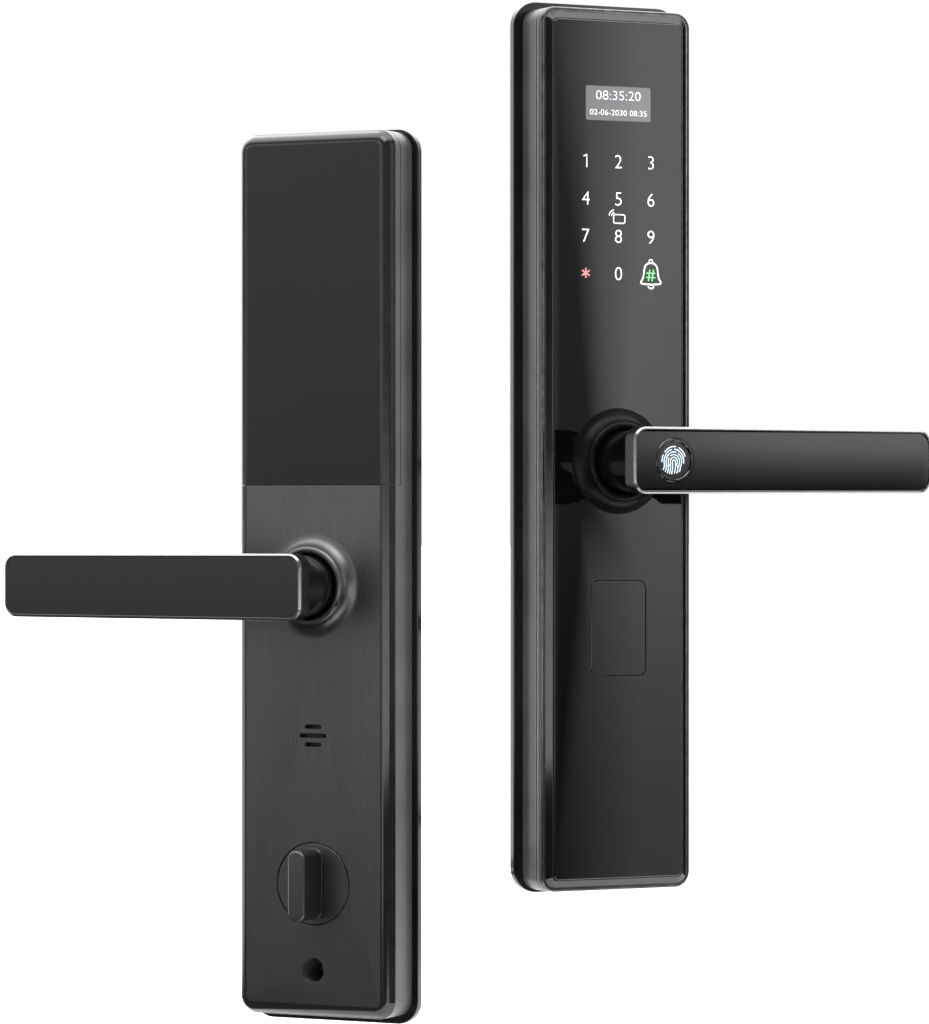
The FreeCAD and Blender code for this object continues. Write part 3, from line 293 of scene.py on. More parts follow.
# Upright brush lines under a dark oxide: a soft vertical highlight and fine streaks of light and dark.
line_width, line_length = 0.22 * mm, 22 * mm
along = add_node(shader.id_data, "Mapping", {"Scale": (1 / line_width, 1 / line_width, 1 / line_length)},
                 {"Vector": place})
brush_lines = add_node(shader.id_data, "TexNoise", {"Scale": 1.0, "Detail": 4.0, "Roughness": 0.7},
                       {"Vector": along.outputs["Vector"]}).outputs["Fac"]
vary_colour(shader, brush_lines, "5c5a5c", "6e6c6e")
vary_roughness(shader, brush_lines, 0.32, 0.42)
add_bump(shader, brush_lines, 0.25, 0.02)
finish_nodes(brushed, "indoor_housing", "thumbturn")

# %% [markdown]
# ## Battery cover
# The battery cover is moulded black ABS with a very fine spark-eroded texture from its mould, so it is an
# even, warm near-black beside the metal. Its rolled edge gets a lacquer of its own further down.

# %% Textured ABS
textured_abs, shader, place = new_finish("fine spark textured ABS", "0e0d0d", 0.26, ior=1.53)
# Moulded plastic with a fine grain, a third of a millimetre across, that spreads every highlight.
grain = noise(place, 0.35, 3.0)
vary_colour(shader, grain, "0c0b0b", "121010")
add_bump(shader, grain, 0.12, 0.02)
shader.inputs["Specular IOR Level"].default_value = 0.33
finish_nodes(textured_abs, "battery_cover")

# %% [markdown]
# ## Levers
# Each lever is a zinc casting whose front edge is ground and left brighter than its face. The face is a
# separate inlay, set just below the rim, in satin black lacquer.

# %% Lever rim and inlay
bright_rim, shader, place = new_finish("ground and tinted zinc", "8e8e90", 0.24, metallic=1.0)
# A ground edge under a thin grey tint: metallic, bright where it faces a light and dark where it faces away.
grinding = noise(place, 0.5, 3.0)
vary_colour(shader, grinding, "7c7c7e", "9a9a9c")
vary_roughness(shader, grinding, 0.2, 0.3)
finish_nodes(bright_rim, "outdoor_lever", "indoor_lever")

satin_lacquer, shader, place = new_finish("satin black lacquer", "121213", 0.22)
# Sprayed lacquer rubbed to a satin: dark, with a broad soft reflection and a barely visible mist of grain.
mist = noise(place, 0.4)
vary_colour(shader, mist, "0f0f10", "161617")
vary_roughness(shader, mist, 0.18, 0.26)
finish_nodes(satin_lacquer, "outdoor_lever_face", "indoor_lever_face")

# %% [markdown]
# ## Finishes of the parts inside
# The inner parts show when the battery cover is off, when the lock is off the door, or in an exploded view.
# They get the finish of what they are made of: steel, spring steel, brass, copper, nickel, rubber, circuit
# board, moulded white and black plastic, and the printed jackets of the cells.

# %% Steel, spring steel, nickel, brass and copper
def turned_metal(name, dark, light, roughness, line):
    """A metal with tool marks about line millimetres apart."""
    metal, shader, place = new_finish(name, light, roughness, metallic=1.0)
    marks = noise(place, line, 3.0)
    vary_colour(shader, marks, dark, light)
    vary_roughness(shader, marks, roughness - 0.06, roughness + 0.08)
    return metal


zinc_steel = turned_metal("zinc plated steel", "9a9da0", "b9bcc0", 0.32, 0.6)
# Thin zinc on steel: pale, slightly blue and softly cloudy.
spring_steel = turned_metal("oiled spring steel", "4c4a48", "6f6c68", 0.28, 0.3)
# Drawn and oil-tempered wire: dark, with fine marks along the die.
nickel = turned_metal("nickel plated steel", "b5b2aa", "cfccc2", 0.2, 0.8)
# Bright nickel: warmer and smoother than zinc.
brass = turned_metal("turned brass", "a5853f", "c9a85a", 0.26, 0.4)
# Free-cutting brass from the lathe: yellow, with fine turning marks.
copper = turned_metal("enamelled copper wire", "9c4f2c", "c06b41", 0.3, 0.2)
# Copper under clear enamel: warm orange-red.
finish_nodes(zinc_steel, "spindle_hub", "spindle", "mounting_posts", "outdoor_plate_screws", "clutch_pin",
             "clutch_slider", "clutch_worm", "outdoor_stop_plate", "indoor_stop_plate",
             "control_board_screws", "indoor_small_screws", "thumbturn_shaft", "thumbturn_bracket",
             "thumbturn_cam", "housing_fixing_screws")
finish_nodes(spring_steel, "outdoor_return_spring", "indoor_return_spring", "outdoor_retaining_ring",
             "indoor_retaining_ring", "thumbturn_leaf_spring")
finish_nodes(nickel, "clutch_motor", "battery_contacts", "usb_power_socket")
finish_nodes(brass, "key_cylinder_body", "key_cylinder_nut", "key_cylinder_plug", "key_cylinder_tailpiece")
finish_nodes(copper, "card_reader_coil")

# %% [markdown]
# The moulded parts come next. Rubber is dark and dull with a talc-like bloom, and the plastics have a fine
# spark texture.

# %% Rubber and moulded parts
def moulded(name, dark, light, roughness, grain_size):
    """A dull moulded material with a fine grain."""
    plastic, shader, place = new_finish(name, light, roughness)
    speck = noise(place, grain_size, 3.0)
    vary_colour(shader, speck, dark, light)
    add_bump(shader, speck, 0.2, 0.03)
    return plastic


rubber = moulded("moulded nitrile rubber", "141414", "202020", 0.75, 0.5)
# Soft black rubber with a faint grey bloom.
black_nylon = moulded("moulded black nylon", "151516", "1f1f20", 0.5, 0.4)
# Glass-filled nylon: black, slightly grainy.
white_acetal = moulded("moulded white acetal", "d8d6cf", "e6e4dd", 0.4, 0.5)
# Waxy white plastic for bushes and light guides.
finish_nodes(rubber, "door_gaskets")
finish_nodes(black_nylon, "battery_tray", "speaker", "cable_socket", "setup_switch")
finish_nodes(white_acetal, "outdoor_handle_bush", "indoor_handle_bush", "key_light_guides", "setup_button")

# %% [markdown]
# The circuit boards are green solder mask with the copper tracks showing through as slightly lighter lines,
# drawn by a brick pattern of four rows to 5.2 mm, a real track pitch of 1.3 mm. The cells' jackets are
# plain blue film with a pale band, drawn by slow waves along z.

# %% Boards and cells
board_green, shader, place = new_finish("solder-masked circuit board", "12402a", 0.35)
# Glass-epoxy board under green mask: tracks stand out a little lighter and catch the light on their edges.
upright = add_node(shader.id_data, "Mapping", {"Rotation": (math.radians(90), 0, 0)}, {"Vector": place})
tracks = add_node(shader.id_data, "TexBrick",
                  {"Scale": 1 / (5.2 * mm), "Mortar Size": 0.06, "Brick Width": 0.9, "Row Height": 0.25,
                   "Color1": linear("123f29"), "Color2": linear("174a31"), "Mortar": linear("2f7a4c")},
                  {"Vector": upright.outputs["Vector"]})
shader.id_data.links.new(tracks.outputs["Color"], shader.inputs["Base Color"])
add_bump(shader, tracks.outputs["Fac"], 0.3, 0.04)
finish_nodes(board_green, "main_control_board", "touch_keypad_board", "indoor_circuit_board",
             "display_module")

cell_jacket, shader, place = new_finish("printed film jacket of a dry cell", "26405e", 0.3)
# Shrunk printed film: a plain blue body with a pale band round each cell, and no writing.
bands = add_node(shader.id_data, "TexWave", {"Scale": 1 / (157 * mm), "bands_direction": "Z"},
                 {"Vector": place})
vary_colour(shader, bands.outputs["Fac"], "1d3550", "b9bec2", 0.86, 0.9)
finish_nodes(cell_jacket, "battery_cells")

# %% [markdown]
# ## Display and sensor
# The display window is a clear pane over a lit grey screen. The fingerprint sensor is a dark glass disc,
# and its lit mark is drawn later.

# %% Lit and glass parts
screen_glass, shader, place = new_finish("lit grey screen behind glass", "7c7c7e", 0.12)
# A small lit display with its dots 0.4 millimetres apart, under a smooth pane.
screen_dots = add_node(shader.id_data, "TexChecker",
                       {"Scale": 1 / (0.4 * mm), "Color1": linear("5f5f62"), "Color2": linear("69696c")},
                       {"Vector": place}).outputs["Color"]
for socket in ("Base Color", "Emission Color"):
    shader.id_data.links.new(screen_dots, shader.inputs[socket])
shader.inputs["Emission Strength"].default_value = 0.2
finish_nodes(screen_glass, "display_window")

sensor_glass, shader, place = new_finish("dark sensor glass", "202021", 0.2)
# Ground dark glass: a deep grey, with a soft haze from its fine surface.
vary_colour(shader, noise(place, 0.5), "1c1c1d", "272728")
finish_nodes(sensor_glass, "fingerprint_sensor")
print("nodes without a finish:", sorted(set(nodes) - finished))

# %% [markdown]
# ## Edges that catch the light
# On the real lock every outer edge is slightly rounded and catches a fine light line. Here the rounded edges
# get a lighter coat of their own, a painted highlight that draws that line round each part. The wide rolled
# edges of the indoor half are lacquered and rubbed smooth, so they hold a crisp light line where the flat
# faces hold none.

# %% Finishes of edges
painted_edge_highlight, shader, place = new_finish("lighter edge coat as a painted highlight", "5a595b", 0.22, metallic=1.0)
# Lighter tinted metal on the rounded edges: a painted highlight line, with a little unevenness along it.
edge_highlight_noise = noise(place, 4)
vary_colour(shader, edge_highlight_noise, "4e4d4f", "6a696b")
vary_roughness(shader, edge_highlight_noise, 0.18, 0.3)

rolled_lacquer, shader, place = new_finish("clear lacquer over black on a rolled edge", "131213", 0.14,
                                           ior=1.6)
# Lacquer rubbed down over a rolled edge: black, with a faint ripple in its gloss.
ripple = noise(place, 6)
vary_colour(shader, ripple, "100f10", "161516")
vary_roughness(shader, ripple, 0.11, 0.2)
print("edge finishes:", painted_edge_highlight.name, "and", rolled_lacquer.name)

# %% [markdown]
# A working part keeps its own mesh, so the parts that show get a copy: its loose triangles are merged, its
# flat faces are cleaned up, and a small bevel rounds the sharp edges. The bevel gives its new faces their
# own finish, often the lighter edge coat, which paints a highlight line along each edge.

# %% Rounded copies of working parts
def body_of(node):
    """The body that a working part moves with."""
    return nodes[node]["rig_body"]


face_slot, edge_slot, side_slot, roll_slot = range(4)  # the order in which every copy holds its finishes
merge_distance = 0.002 * mm
flat_limit, sharp_limit, smooth_limit = math.radians(0.5), math.radians(28), math.radians(30)


def rounded_copy(node, width, face_finish, edge_finish, side_finish=None, is_side=None):
    """A copy of a working part with its sharp edges rounded; it takes that part's place and moves with it.

    Where side_finish is given, the faces that is_side picks get it."""
    bpy.ops.object.select_all(action="DESELECT")
    piece = bpy.data.objects.new(node + "_rounded", nodes[node].data.copy())
    bpy.context.scene.collection.objects.link(piece)
    piece.select_set(True)
    bpy.context.view_layer.objects.active = piece
    piece.data.materials.clear()
    for finish in (face_finish, edge_finish, side_finish or face_finish):
        piece.data.materials.append(finish)
    bpy.ops.mesh.customdata_custom_splitnormals_clear()
    bpy.ops.object.mode_set(mode="EDIT")
    bpy.ops.mesh.select_all(action="SELECT")
    bpy.ops.mesh.remove_doubles(threshold=merge_distance)
    bpy.ops.mesh.dissolve_limited(angle_limit=flat_limit)
    bpy.ops.object.mode_set(mode="OBJECT")
    if side_finish:
        for face in piece.data.polygons:
            face.material_index = side_slot if is_side(face) else face_slot
    bpy.ops.object.shade_smooth_by_angle(angle=smooth_limit)
    rounding = piece.modifiers.new("rounding", "BEVEL")
    rounding.width = width * mm
    rounding.segments = 2
    rounding.limit_method = "ANGLE"
    rounding.angle_limit = sharp_limit
    rounding.use_clamp_overlap = False
    rounding.harden_normals = True
    rounding.material = edge_slot
    bpy.ops.object.modifier_apply(modifier=rounding.name)
    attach(piece, body_of(node))
    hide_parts(node)
    print(piece.name, "triangles:", sum(len(face.vertices) - 2 for face in piece.data.polygons))
    return piece


print("finish slots of a copy:", face_slot, edge_slot, side_slot, roll_slot)

# %% [markdown]
# Some parts carry more than one finish. Which faces get which is told by two measures: how far a face lies
# from the handle's axis, and its lean, the cosine of the angle between its normal and the half's front. A
# face that looks straight ahead leans 1 and a side wall leans 0.

# %% Picking faces
outdoor_front = Vector((0, -1, 0))
indoor_front = (indoor_place.to_3x3() @ outdoor_front).normalized()
outdoor_axis, indoor_axis = middle("outdoor_neck"), middle("indoor_neck")
collar_radius = 24 * mm
clear_of_collar = 1.4 * collar_radius
side_lean = 0.3


def from_axis(point, front, centre):
    """How far a point lies from the line through centre along front."""
    away = point - centre
    return (away - front * away.dot(front)).length


def outer_side(front, centre):
    """Picks the side walls: faces that look sideways, well away from the handle."""
    return lambda face: (abs(face.normal.dot(front)) < side_lean
                         and from_axis(face.center, front, centre) > clear_of_collar)


def collar(front, centre):
    """Picks the collar round the neck: faces near the handle that aren't flat on the front."""
    return lambda face: (from_axis(face.center, front, centre) < collar_radius
                         and face.normal.dot(front) < 0.999)


def add_roll(piece, front, centre):
    """Give the rolled edge its lacquer: faces away from the handle that lean between front and sides."""
    piece.data.materials.append(rolled_lacquer)
    for face in piece.data.polygons:
        if (side_lean <= face.normal.dot(front) < 0.995
                and from_axis(face.center, front, centre) > clear_of_collar):
            face.material_index = roll_slot


print("side walls start", round(clear_of_collar / mm, 1), "mm from the handle's axis")

# %% [markdown]
# Every part that shows is copied now. The frame keeps black plating on its wide facet, which leans about
# 0.89, and graphite on its side walls; its flat rim and its outer edge get the lighter edge coat, a painted
# highlight line. The panel's collar is matte. The battery cover and the indoor housing have graphite sides
# and a rolled, lacquered edge.

# %% The copies
# The lighter edge coat on the copies below is a painted highlight line along their rounded edges.
facet_leans = (0.87, 0.95)


def indoor_shell(node, face_finish):
    """A shell of the indoor half, with its sides in graphite and its rolled edge in lacquer."""
    shell = rounded_copy(node, 0.2, face_finish, painted_edge_highlight, graphite_coat,
                         outer_side(indoor_front, indoor_axis))
    add_roll(shell, indoor_front, indoor_axis)


rounded_copy("outdoor_back_plate", 0.5, black_coat, black_coat)
rounded_copy("indoor_back_plate", 0.5, black_coat, black_coat)
rounded_copy("outdoor_housing", 0.3, graphite_coat, painted_edge_highlight)
frame_ring = rounded_copy("outdoor_frame", 0.12, black_gloss, painted_edge_highlight, graphite_coat,
                          outer_side(outdoor_front, outdoor_axis))
# The frame's flat rim and outer edge take the lighter edge coat: a painted highlight.
for face in frame_ring.data.polygons:
    lean = face.normal.dot(outdoor_front)
    if side_lean <= lean < facet_leans[0] or lean > facet_leans[1]:
        face.material_index = edge_slot
rounded_copy("front_panel", 0.1, gloss_acrylic, black_gloss, collar_black,
             collar(outdoor_front, outdoor_axis))
indoor_shell("battery_cover", textured_abs)
rounded_copy("thumbturn", 0.3, brushed, painted_edge_highlight)
rounded_copy("key_cover", 0.12, gloss_acrylic, black_gloss)
indoor_shell("indoor_housing", brushed)

# %% [markdown]
# ## Lever rims
# The lever's face side has a ground chamfer that stays nearly bare, while its sides and back are coated
# black. The chamfer's faces lean halfway between the front and the sides, so they are found by their lean
# and given the bright finish.

# %% Lever bodies
chamfer_leans = (0.4, 0.95)


def lever_body(node, front):
    """A rounded lever whose chamfer, found by how far it leans from the front, is left bright."""
    piece = rounded_copy(node, 0.12, satin_coat, bright_rim)
    bright = 0
    for face in piece.data.polygons:
        if chamfer_leans[0] < face.normal.dot(front) < chamfer_leans[1] and face.area > 0:
            face.material_index = edge_slot
            bright += 1
    print(piece.name, "bright faces:", bright)


lever_body("outdoor_lever", outdoor_front)
lever_body("indoor_lever", indoor_front)

# %% [markdown]
# ## Crowned lever faces
# The lacquered faces aren't quite flat: they are crowned by under a millimetre from top to bottom, so that
# they mirror a taller slice of the room and shade from light to dark. The flat working part is copied, cut
# into strips along its length, and each strip's points are set back by the square of their height.

# %% Lever faces
def crowned_face(node, front, crown, strips):
    """A copy of a lever face whose front is set back by crown millimetres at its top and bottom."""
    piece = rounded_copy(node, 0.1, satin_lacquer, satin_lacquer)
    low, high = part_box(node)
    half = (high.z - low.z) / 2
    level = (high.z + low.z) / 2
    bpy.ops.object.mode_set(mode="EDIT")
    for cut in range(1, strips):
        bpy.ops.mesh.select_all(action="SELECT")
        bpy.ops.mesh.bisect(plane_co=(0, 0, low.z + 2 * half * cut / strips), plane_no=(0, 0, 1))
    bpy.ops.object.mode_set(mode="OBJECT")
    depths = [vertex.co.dot(front) for vertex in piece.data.vertices]
    middle_depth = (min(depths) + max(depths)) / 2
    for vertex, depth in zip(piece.data.vertices, depths):
        if depth > middle_depth:
            vertex.co -= front * crown * mm * ((vertex.co.z - level) / half) ** 2
    bpy.ops.mesh.customdata_custom_splitnormals_clear()
    bpy.ops.object.shade_smooth_by_angle(angle=smooth_limit)
    print(piece.name, "vertices:", len(piece.data.vertices))


crowned_face("outdoor_lever_face", outdoor_front, crown=0.9, strips=18)
crowned_face("indoor_lever_face", indoor_front, crown=0.3, strips=14)

# %% [markdown]
# ## Printed marks
# The keys are only printed and lit marks under the panel, so each is a very thin solid that lies on the
# face. The digits are text, thinned a little and made into a mesh at their real height. Drawn marks are
# lines with a round section, pressed flat. All of them glow a little, because they are lit from behind.

# %% Ink that is lit from behind
def lit_ink(name, colour, strength):
    """A printed ink over a light guide; the ink's fine dots make it slightly uneven."""
    ink, shader, place = new_finish(name, colour, 0.4)
    thin = [channel * 0.85 for channel in linear(colour)[:3]] + [1.0]
    tint = ramp(noise(place, 0.3, 1.0), thin, linear(colour), 0.35, 0.65)
    for socket in ("Base Color", "Emission Color"):
        shader.id_data.links.new(tint, shader.inputs[socket])
    shader.inputs["Emission Strength"].default_value = strength
    return ink


white_ink = lit_ink("lit white ink", "f2f2f4", 0.45)
red_ink = lit_ink("lit red ink", "f08a8c", 0.35)
green_ink = lit_ink("lit green ink", "8cf09a", 0.45)
green_filter = lit_ink("dark green filter ink", "12351c", 0.3)
blue_ink = lit_ink("pale blue lit ink", "cfe6fa", 0.5)
print("inks:", [ink.name for ink in (white_ink, red_ink, green_ink, green_filter, blue_ink)])

# %% [markdown]
# Text and lines both start as curves, which are turned to meshes and then moved and sized, so that each
# finished mark has its real size and stands at the origin, unturned and unscaled.

# %% Text helpers
def settle(piece, name, finish, node):
    """Name a finished mesh, give it its finish, and let it move with the working part that it lies on."""
    piece.name = name
    piece.data.materials.clear()
    piece.data.materials.append(finish)
    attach(piece, body_of(node))


def join(pieces):
    """Make several meshes one."""
    bpy.ops.object.select_all(action="DESELECT")
    for piece in pieces:
        piece.select_set(True)
    bpy.context.view_layer.objects.active = pieces[0]
    bpy.ops.object.join()
    return pieces[0]


def number_mesh(words, height, x, z, depth, thin=0.012, width=None):
    """Digits as a thin solid, height tall in millimetres, centred on x and z, lying on a face at depth.

    thin is how far the strokes' outlines are drawn in; width, if given, stretches the line to fit."""
    half_thickness = 0.004
    bpy.ops.object.select_all(action="DESELECT")
    bpy.ops.object.text_add(rotation=(math.radians(90), 0, 0))
    text = bpy.context.object
    text.data.body = words
    text.data.offset = -thin
    text.data.extrude = half_thickness
    text.data.resolution_u = 4
    bpy.ops.object.convert(target="MESH")
    solid = bpy.context.object
    bpy.ops.object.transform_apply(location=True, rotation=True, scale=True)
    spots = [vertex.co for vertex in solid.data.vertices]
    low_x, high_x = min(s.x for s in spots), max(s.x for s in spots)
    low_z, high_z = min(s.z for s in spots), max(s.z for s in spots)
    rise = height * mm / (high_z - low_z)
    stretch = rise if width is None else width * mm / (high_x - low_x)
    solid.scale = (stretch, rise, rise)
    solid.location = (x * mm - stretch * (low_x + high_x) / 2, -depth * mm - half_thickness * rise,
                      z * mm - rise * (low_z + high_z) / 2)
    bpy.ops.object.transform_apply(location=True, rotation=True, scale=True)
    return solid


print("text helpers ready")

# %% [markdown]
# A drawn mark is a path of straight pieces with a round section, pressed flat onto the face. Its points are
# given as x and z in millimetres, and arcs give them for the curved marks.

# %% Line helpers
def drawn_line(spots, width, depth, closed=False):
    """A flat line through (x, z) spots in millimetres, on a face at depth."""
    bpy.ops.object.select_all(action="DESELECT")
    bpy.ops.curve.primitive_nurbs_path_add()
    line = bpy.context.object
    line.data.splines.clear()
    path = line.data.splines.new("POLY")
    path.points.add(len(spots) - 1)
    for point, spot in zip(path.points, spots):
        point.co = (spot[0] * mm, 0, spot[1] * mm, 1)
    path.use_cyclic_u = closed
    line.data.bevel_depth = width * mm / 2
    line.data.bevel_resolution = 1
    line.data.use_fill_caps = True
    bpy.ops.object.convert(target="MESH")
    solid = bpy.context.object
    solid.scale = (1, 0.06, 1)
    solid.location = (0, -depth * mm, 0)
    bpy.ops.object.transform_apply(location=True, rotation=True, scale=True)
    return solid


def arc(centre_x, centre_z, radius, start, end, steps, stretch=1.0):
    """Points of an arc in millimetres, between two angles in degrees counted from +x."""
    points = []
    for step in range(steps + 1):
        angle = math.radians(start + (end - start) * step / steps)
        points.append((centre_x + radius * math.cos(angle), centre_z + stretch * radius * math.sin(angle)))
    return points


print("line helpers ready")

# %% [markdown]
# ### Digits
# Three columns and four rows of digits stand 16.1 mm apart, each 5.7 mm tall. The built-in face draws its 1
# as a bare stroke, so that one is drawn as a line with a flag.

# %% Keypad digits
panel_depth = -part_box("key_cover")[0].y / mm
key_pitch, digit_height = 16.1, 5.7
top_row = 129.2
low_row = top_row - 3 * key_pitch
digits = []
for index, digit in enumerate("23456789", start=1):
    column, row = index % 3 - 1, index // 3
    digits.append(number_mesh(digit, digit_height, column * key_pitch, top_row - row * key_pitch,
                              panel_depth))
digits.append(number_mesh("0", digit_height, 0, low_row, panel_depth))
one = [(-key_pitch - 1.1, top_row + 1.9), (-key_pitch + 0.5, top_row + 2.65),
       (-key_pitch + 0.5, top_row - 2.85)]
digits.append(drawn_line(one, width=0.7, depth=panel_depth))
settle(join(digits), "key_digits", white_ink, "front_panel")
print("digits:", len(digits))

# %% [markdown]
# ### Star, hash and bell
# The star key is three crossed strokes and the hash key four. The hash stands on a dark green window inside
# a bell outline, which is the doorbell key. The bell is drawn as half an outline, from its crown to its
# lip, and then mirrored.

# %% Star, hash and bell
arm = 2.2
arms = []
for turn in (30, 90, 150):
    reach_x, reach_z = arm * math.cos(math.radians(turn)), arm * math.sin(math.radians(turn))
    ends = [(-key_pitch - reach_x, low_row - reach_z), (-key_pitch + reach_x, low_row + reach_z)]
    arms.append(drawn_line(ends, width=0.75, depth=panel_depth))
settle(join(arms), "star_mark", red_ink, "front_panel")

hash_z = low_row - 0.4
half_gap, slant, half_tall, half_wide = 0.9, 0.35, 2.5, 2.2
strokes = []
for side in (-half_gap, half_gap):
    upright_stroke = [(key_pitch + side - slant, hash_z - half_tall),
                      (key_pitch + side + slant, hash_z + half_tall)]
    level_stroke = [(key_pitch - half_wide, hash_z + side), (key_pitch + half_wide, hash_z + side)]
    for stroke in (upright_stroke, level_stroke):
        strokes.append(drawn_line(stroke, width=0.6, depth=panel_depth + 0.03))
settle(join(strokes), "hash_mark", green_ink, "front_panel")

half_bell = [(0.0, 5.0), (1.6, 4.7), (2.8, 3.7), (3.3, 2.2), (3.5, 0.2), (3.9, -1.6), (4.9, -3.2),
             (5.0, -3.8), (4.4, -4.1), (2.4, -4.3), (0.0, -4.4)]
outline = half_bell + [(-x, z) for x, z in reversed(half_bell[1:-1])]
outline = [(key_pitch + x, low_row + z) for x, z in outline]
crown = arc(key_pitch, low_row + 5.6, 0.9, 0, 315, 8)
clapper = arc(key_pitch, low_row - 4.6, 1.5, 200, 340, 6)
bell = [drawn_line(outline, width=0.85, depth=panel_depth, closed=True),
        drawn_line(crown, width=0.6, depth=panel_depth, closed=True),
        drawn_line(clapper, width=0.8, depth=panel_depth)]
settle(join(bell), "bell_mark", white_ink, "front_panel")
print("bell outline points:", len(outline))

# %% [markdown]
# The window behind the hash is a thin oval disc of dark green filter ink, a hundredth of a millimetre
# thick.

# %% Green window behind the hash
bpy.ops.object.select_all(action="DESELECT")
bpy.ops.mesh.primitive_circle_add(vertices=28, radius=3.0 * mm, fill_type="NGON",
                                  rotation=(math.radians(90), 0, 0))
film = 0.01
window = bpy.context.object
window.scale = (1.0, 1.25, 1.0)
window.location = (key_pitch * mm, -(panel_depth + film) * mm, (low_row - 0.2) * mm)
bpy.ops.object.transform_apply(location=True, rotation=True, scale=True)
bpy.ops.object.mode_set(mode="EDIT")
bpy.ops.mesh.select_all(action="SELECT")
bpy.ops.mesh.extrude_region_move(TRANSFORM_OT_translate={"value": (0, film * mm, 0)})
bpy.ops.mesh.select_all(action="SELECT")
bpy.ops.mesh.normals_make_consistent(inside=False)
bpy.ops.object.mode_set(mode="OBJECT")
settle(window, "bell_window", green_filter, "front_panel")
print("window corners:", len(window.data.vertices))

# %% [markdown]
# ### Card mark
# A small card outline with two arcs beside it, between the 5 and the 8, shows where a card is held.

# %% Card mark
card_x, card_z = 0.4, 104.5
half_w, half_h, corner = 2.8, 1.85, 0.8
card = []
for cx, cz, start in ((half_w - corner, half_h - corner, 0), (-half_w + corner, half_h - corner, 90),
                      (-half_w + corner, -half_h + corner, 180), (half_w - corner, -half_h + corner, 270)):
    card += arc(card_x + cx, card_z + cz, corner, start, start + 90, 4)
marks = [drawn_line(card, width=0.6, depth=panel_depth, closed=True)]
for radius in (1.5, 2.7):
    marks.append(drawn_line(arc(-1.9, card_z + 1.1, radius, 95, 175, 6), width=0.55, depth=panel_depth))
settle(join(marks), "card_mark", white_ink, "front_panel")
print("card mark lines:", len(marks))

# %% [markdown]
# ### Display
# The screen shows only a clock: hours, minutes and seconds in the large line and a plain date and time
# below it.

# %% Clock and date
screen_low, screen_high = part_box("display_window")
screen_depth = -screen_low.y / mm
screen_middle = (screen_low.z + screen_high.z) / 2 / mm
clock = number_mesh("08:35:20", 3.9, x=0.0, z=screen_middle + 3.5, depth=screen_depth, width=22.0)
date = number_mesh("02-06-2030 08:35", 2.4, x=0.0, z=screen_middle - 3.9, depth=screen_depth, thin=0.006,
                   width=28.0)
settle(join([clock, date]), "screen_numbers", white_ink, "display_window")
print("screen depth, mm:", round(screen_depth, 2))

# %% [markdown]
# ### Fingerprint mark
# The sensor shows a lit fingerprint: nested arches, given by radius and two angles, and legs that run down
# from them to different heights, given by their distance from the middle, top and foot. A few breaks in the
# arches make it read as a print. The pattern is made up.

# %% Fingerprint mark
sensor_low, sensor_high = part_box("fingerprint_sensor")
sensor_middle = (sensor_low + sensor_high) / 2 / mm
sensor_depth = -sensor_low.y / mm
ridge_width, print_size = 0.55, 1.15
core_z = sensor_middle.z - 0.6
ridges = []
arches = [(5.1, 20, 68), (5.1, 80, 142), (5.1, 152, 182), (4.2, -8, 88), (4.2, 100, 200), (3.3, -30, 60),
          (3.3, 72, 208), (2.4, -42, 130), (2.4, 146, 215), (1.5, -55, 215), (0.6, 0, 180)]
for radius, start, end in arches:
    steps = max(4, int(abs(end - start) / 14))
    curve = arc(sensor_middle.x, core_z, radius * print_size, start, end, steps, stretch=1.1)
    ridges.append(drawn_line(curve, ridge_width, sensor_depth))
legs = [(-4.2, -1.7, -3.4), (-3.3, -1.6, -4.3), (-2.4, -1.4, -4.9), (-1.5, -1.0, -5.2), (-0.6, 0.0, -5.3),
        (0.6, 0.0, -5.0), (1.6, -1.6, -4.9), (2.6, -1.9, -4.4)]
for aside, top, foot in legs:
    x = sensor_middle.x + aside * print_size
    leg = [(x, core_z + top), (x + 0.1, core_z + (top + foot) / 2), (x - 0.5, core_z + foot)]
    ridges.append(drawn_line(leg, ridge_width, sensor_depth))
settle(join(ridges), "fingerprint_mark", blue_ink, "fingerprint_sensor")
print("ridges:", len(ridges))

# %% [markdown]
# ## Studio
# A dark glossy object is lit by what it mirrors. The camera sees plain white behind the lock, while the
# lock itself sees a room that is dark in front and bright above and behind, with two narrow dark zones
# where the bevels look. The floor is one large pale plane, a little below the lock.

# %% Room
world = bpy.context.scene.world or bpy.data.worlds.new("studio")
bpy.context.scene.world = world
world.use_nodes = True
sky = world.node_tree
heading = add_node(sky, "TexCoord").outputs["Generated"]


def zone(centre, edge, core, outside, inside):
    """A factor from outside to inside as a direction nears the zone's centre; edge and core are cosines."""
    nearness = add_node(sky, "VectorMath", {"operation": "DOT_PRODUCT"}, {0: heading})
    nearness.inputs[1].default_value = Vector(centre).normalized()
    return add_node(sky, "MapRange", {"interpolation_type": "SMOOTHSTEP", "From Min": edge, "From Max": core,
                                      "To Min": outside, "To Max": inside},
                    {"Value": nearness.outputs["Value"]}).outputs["Result"]


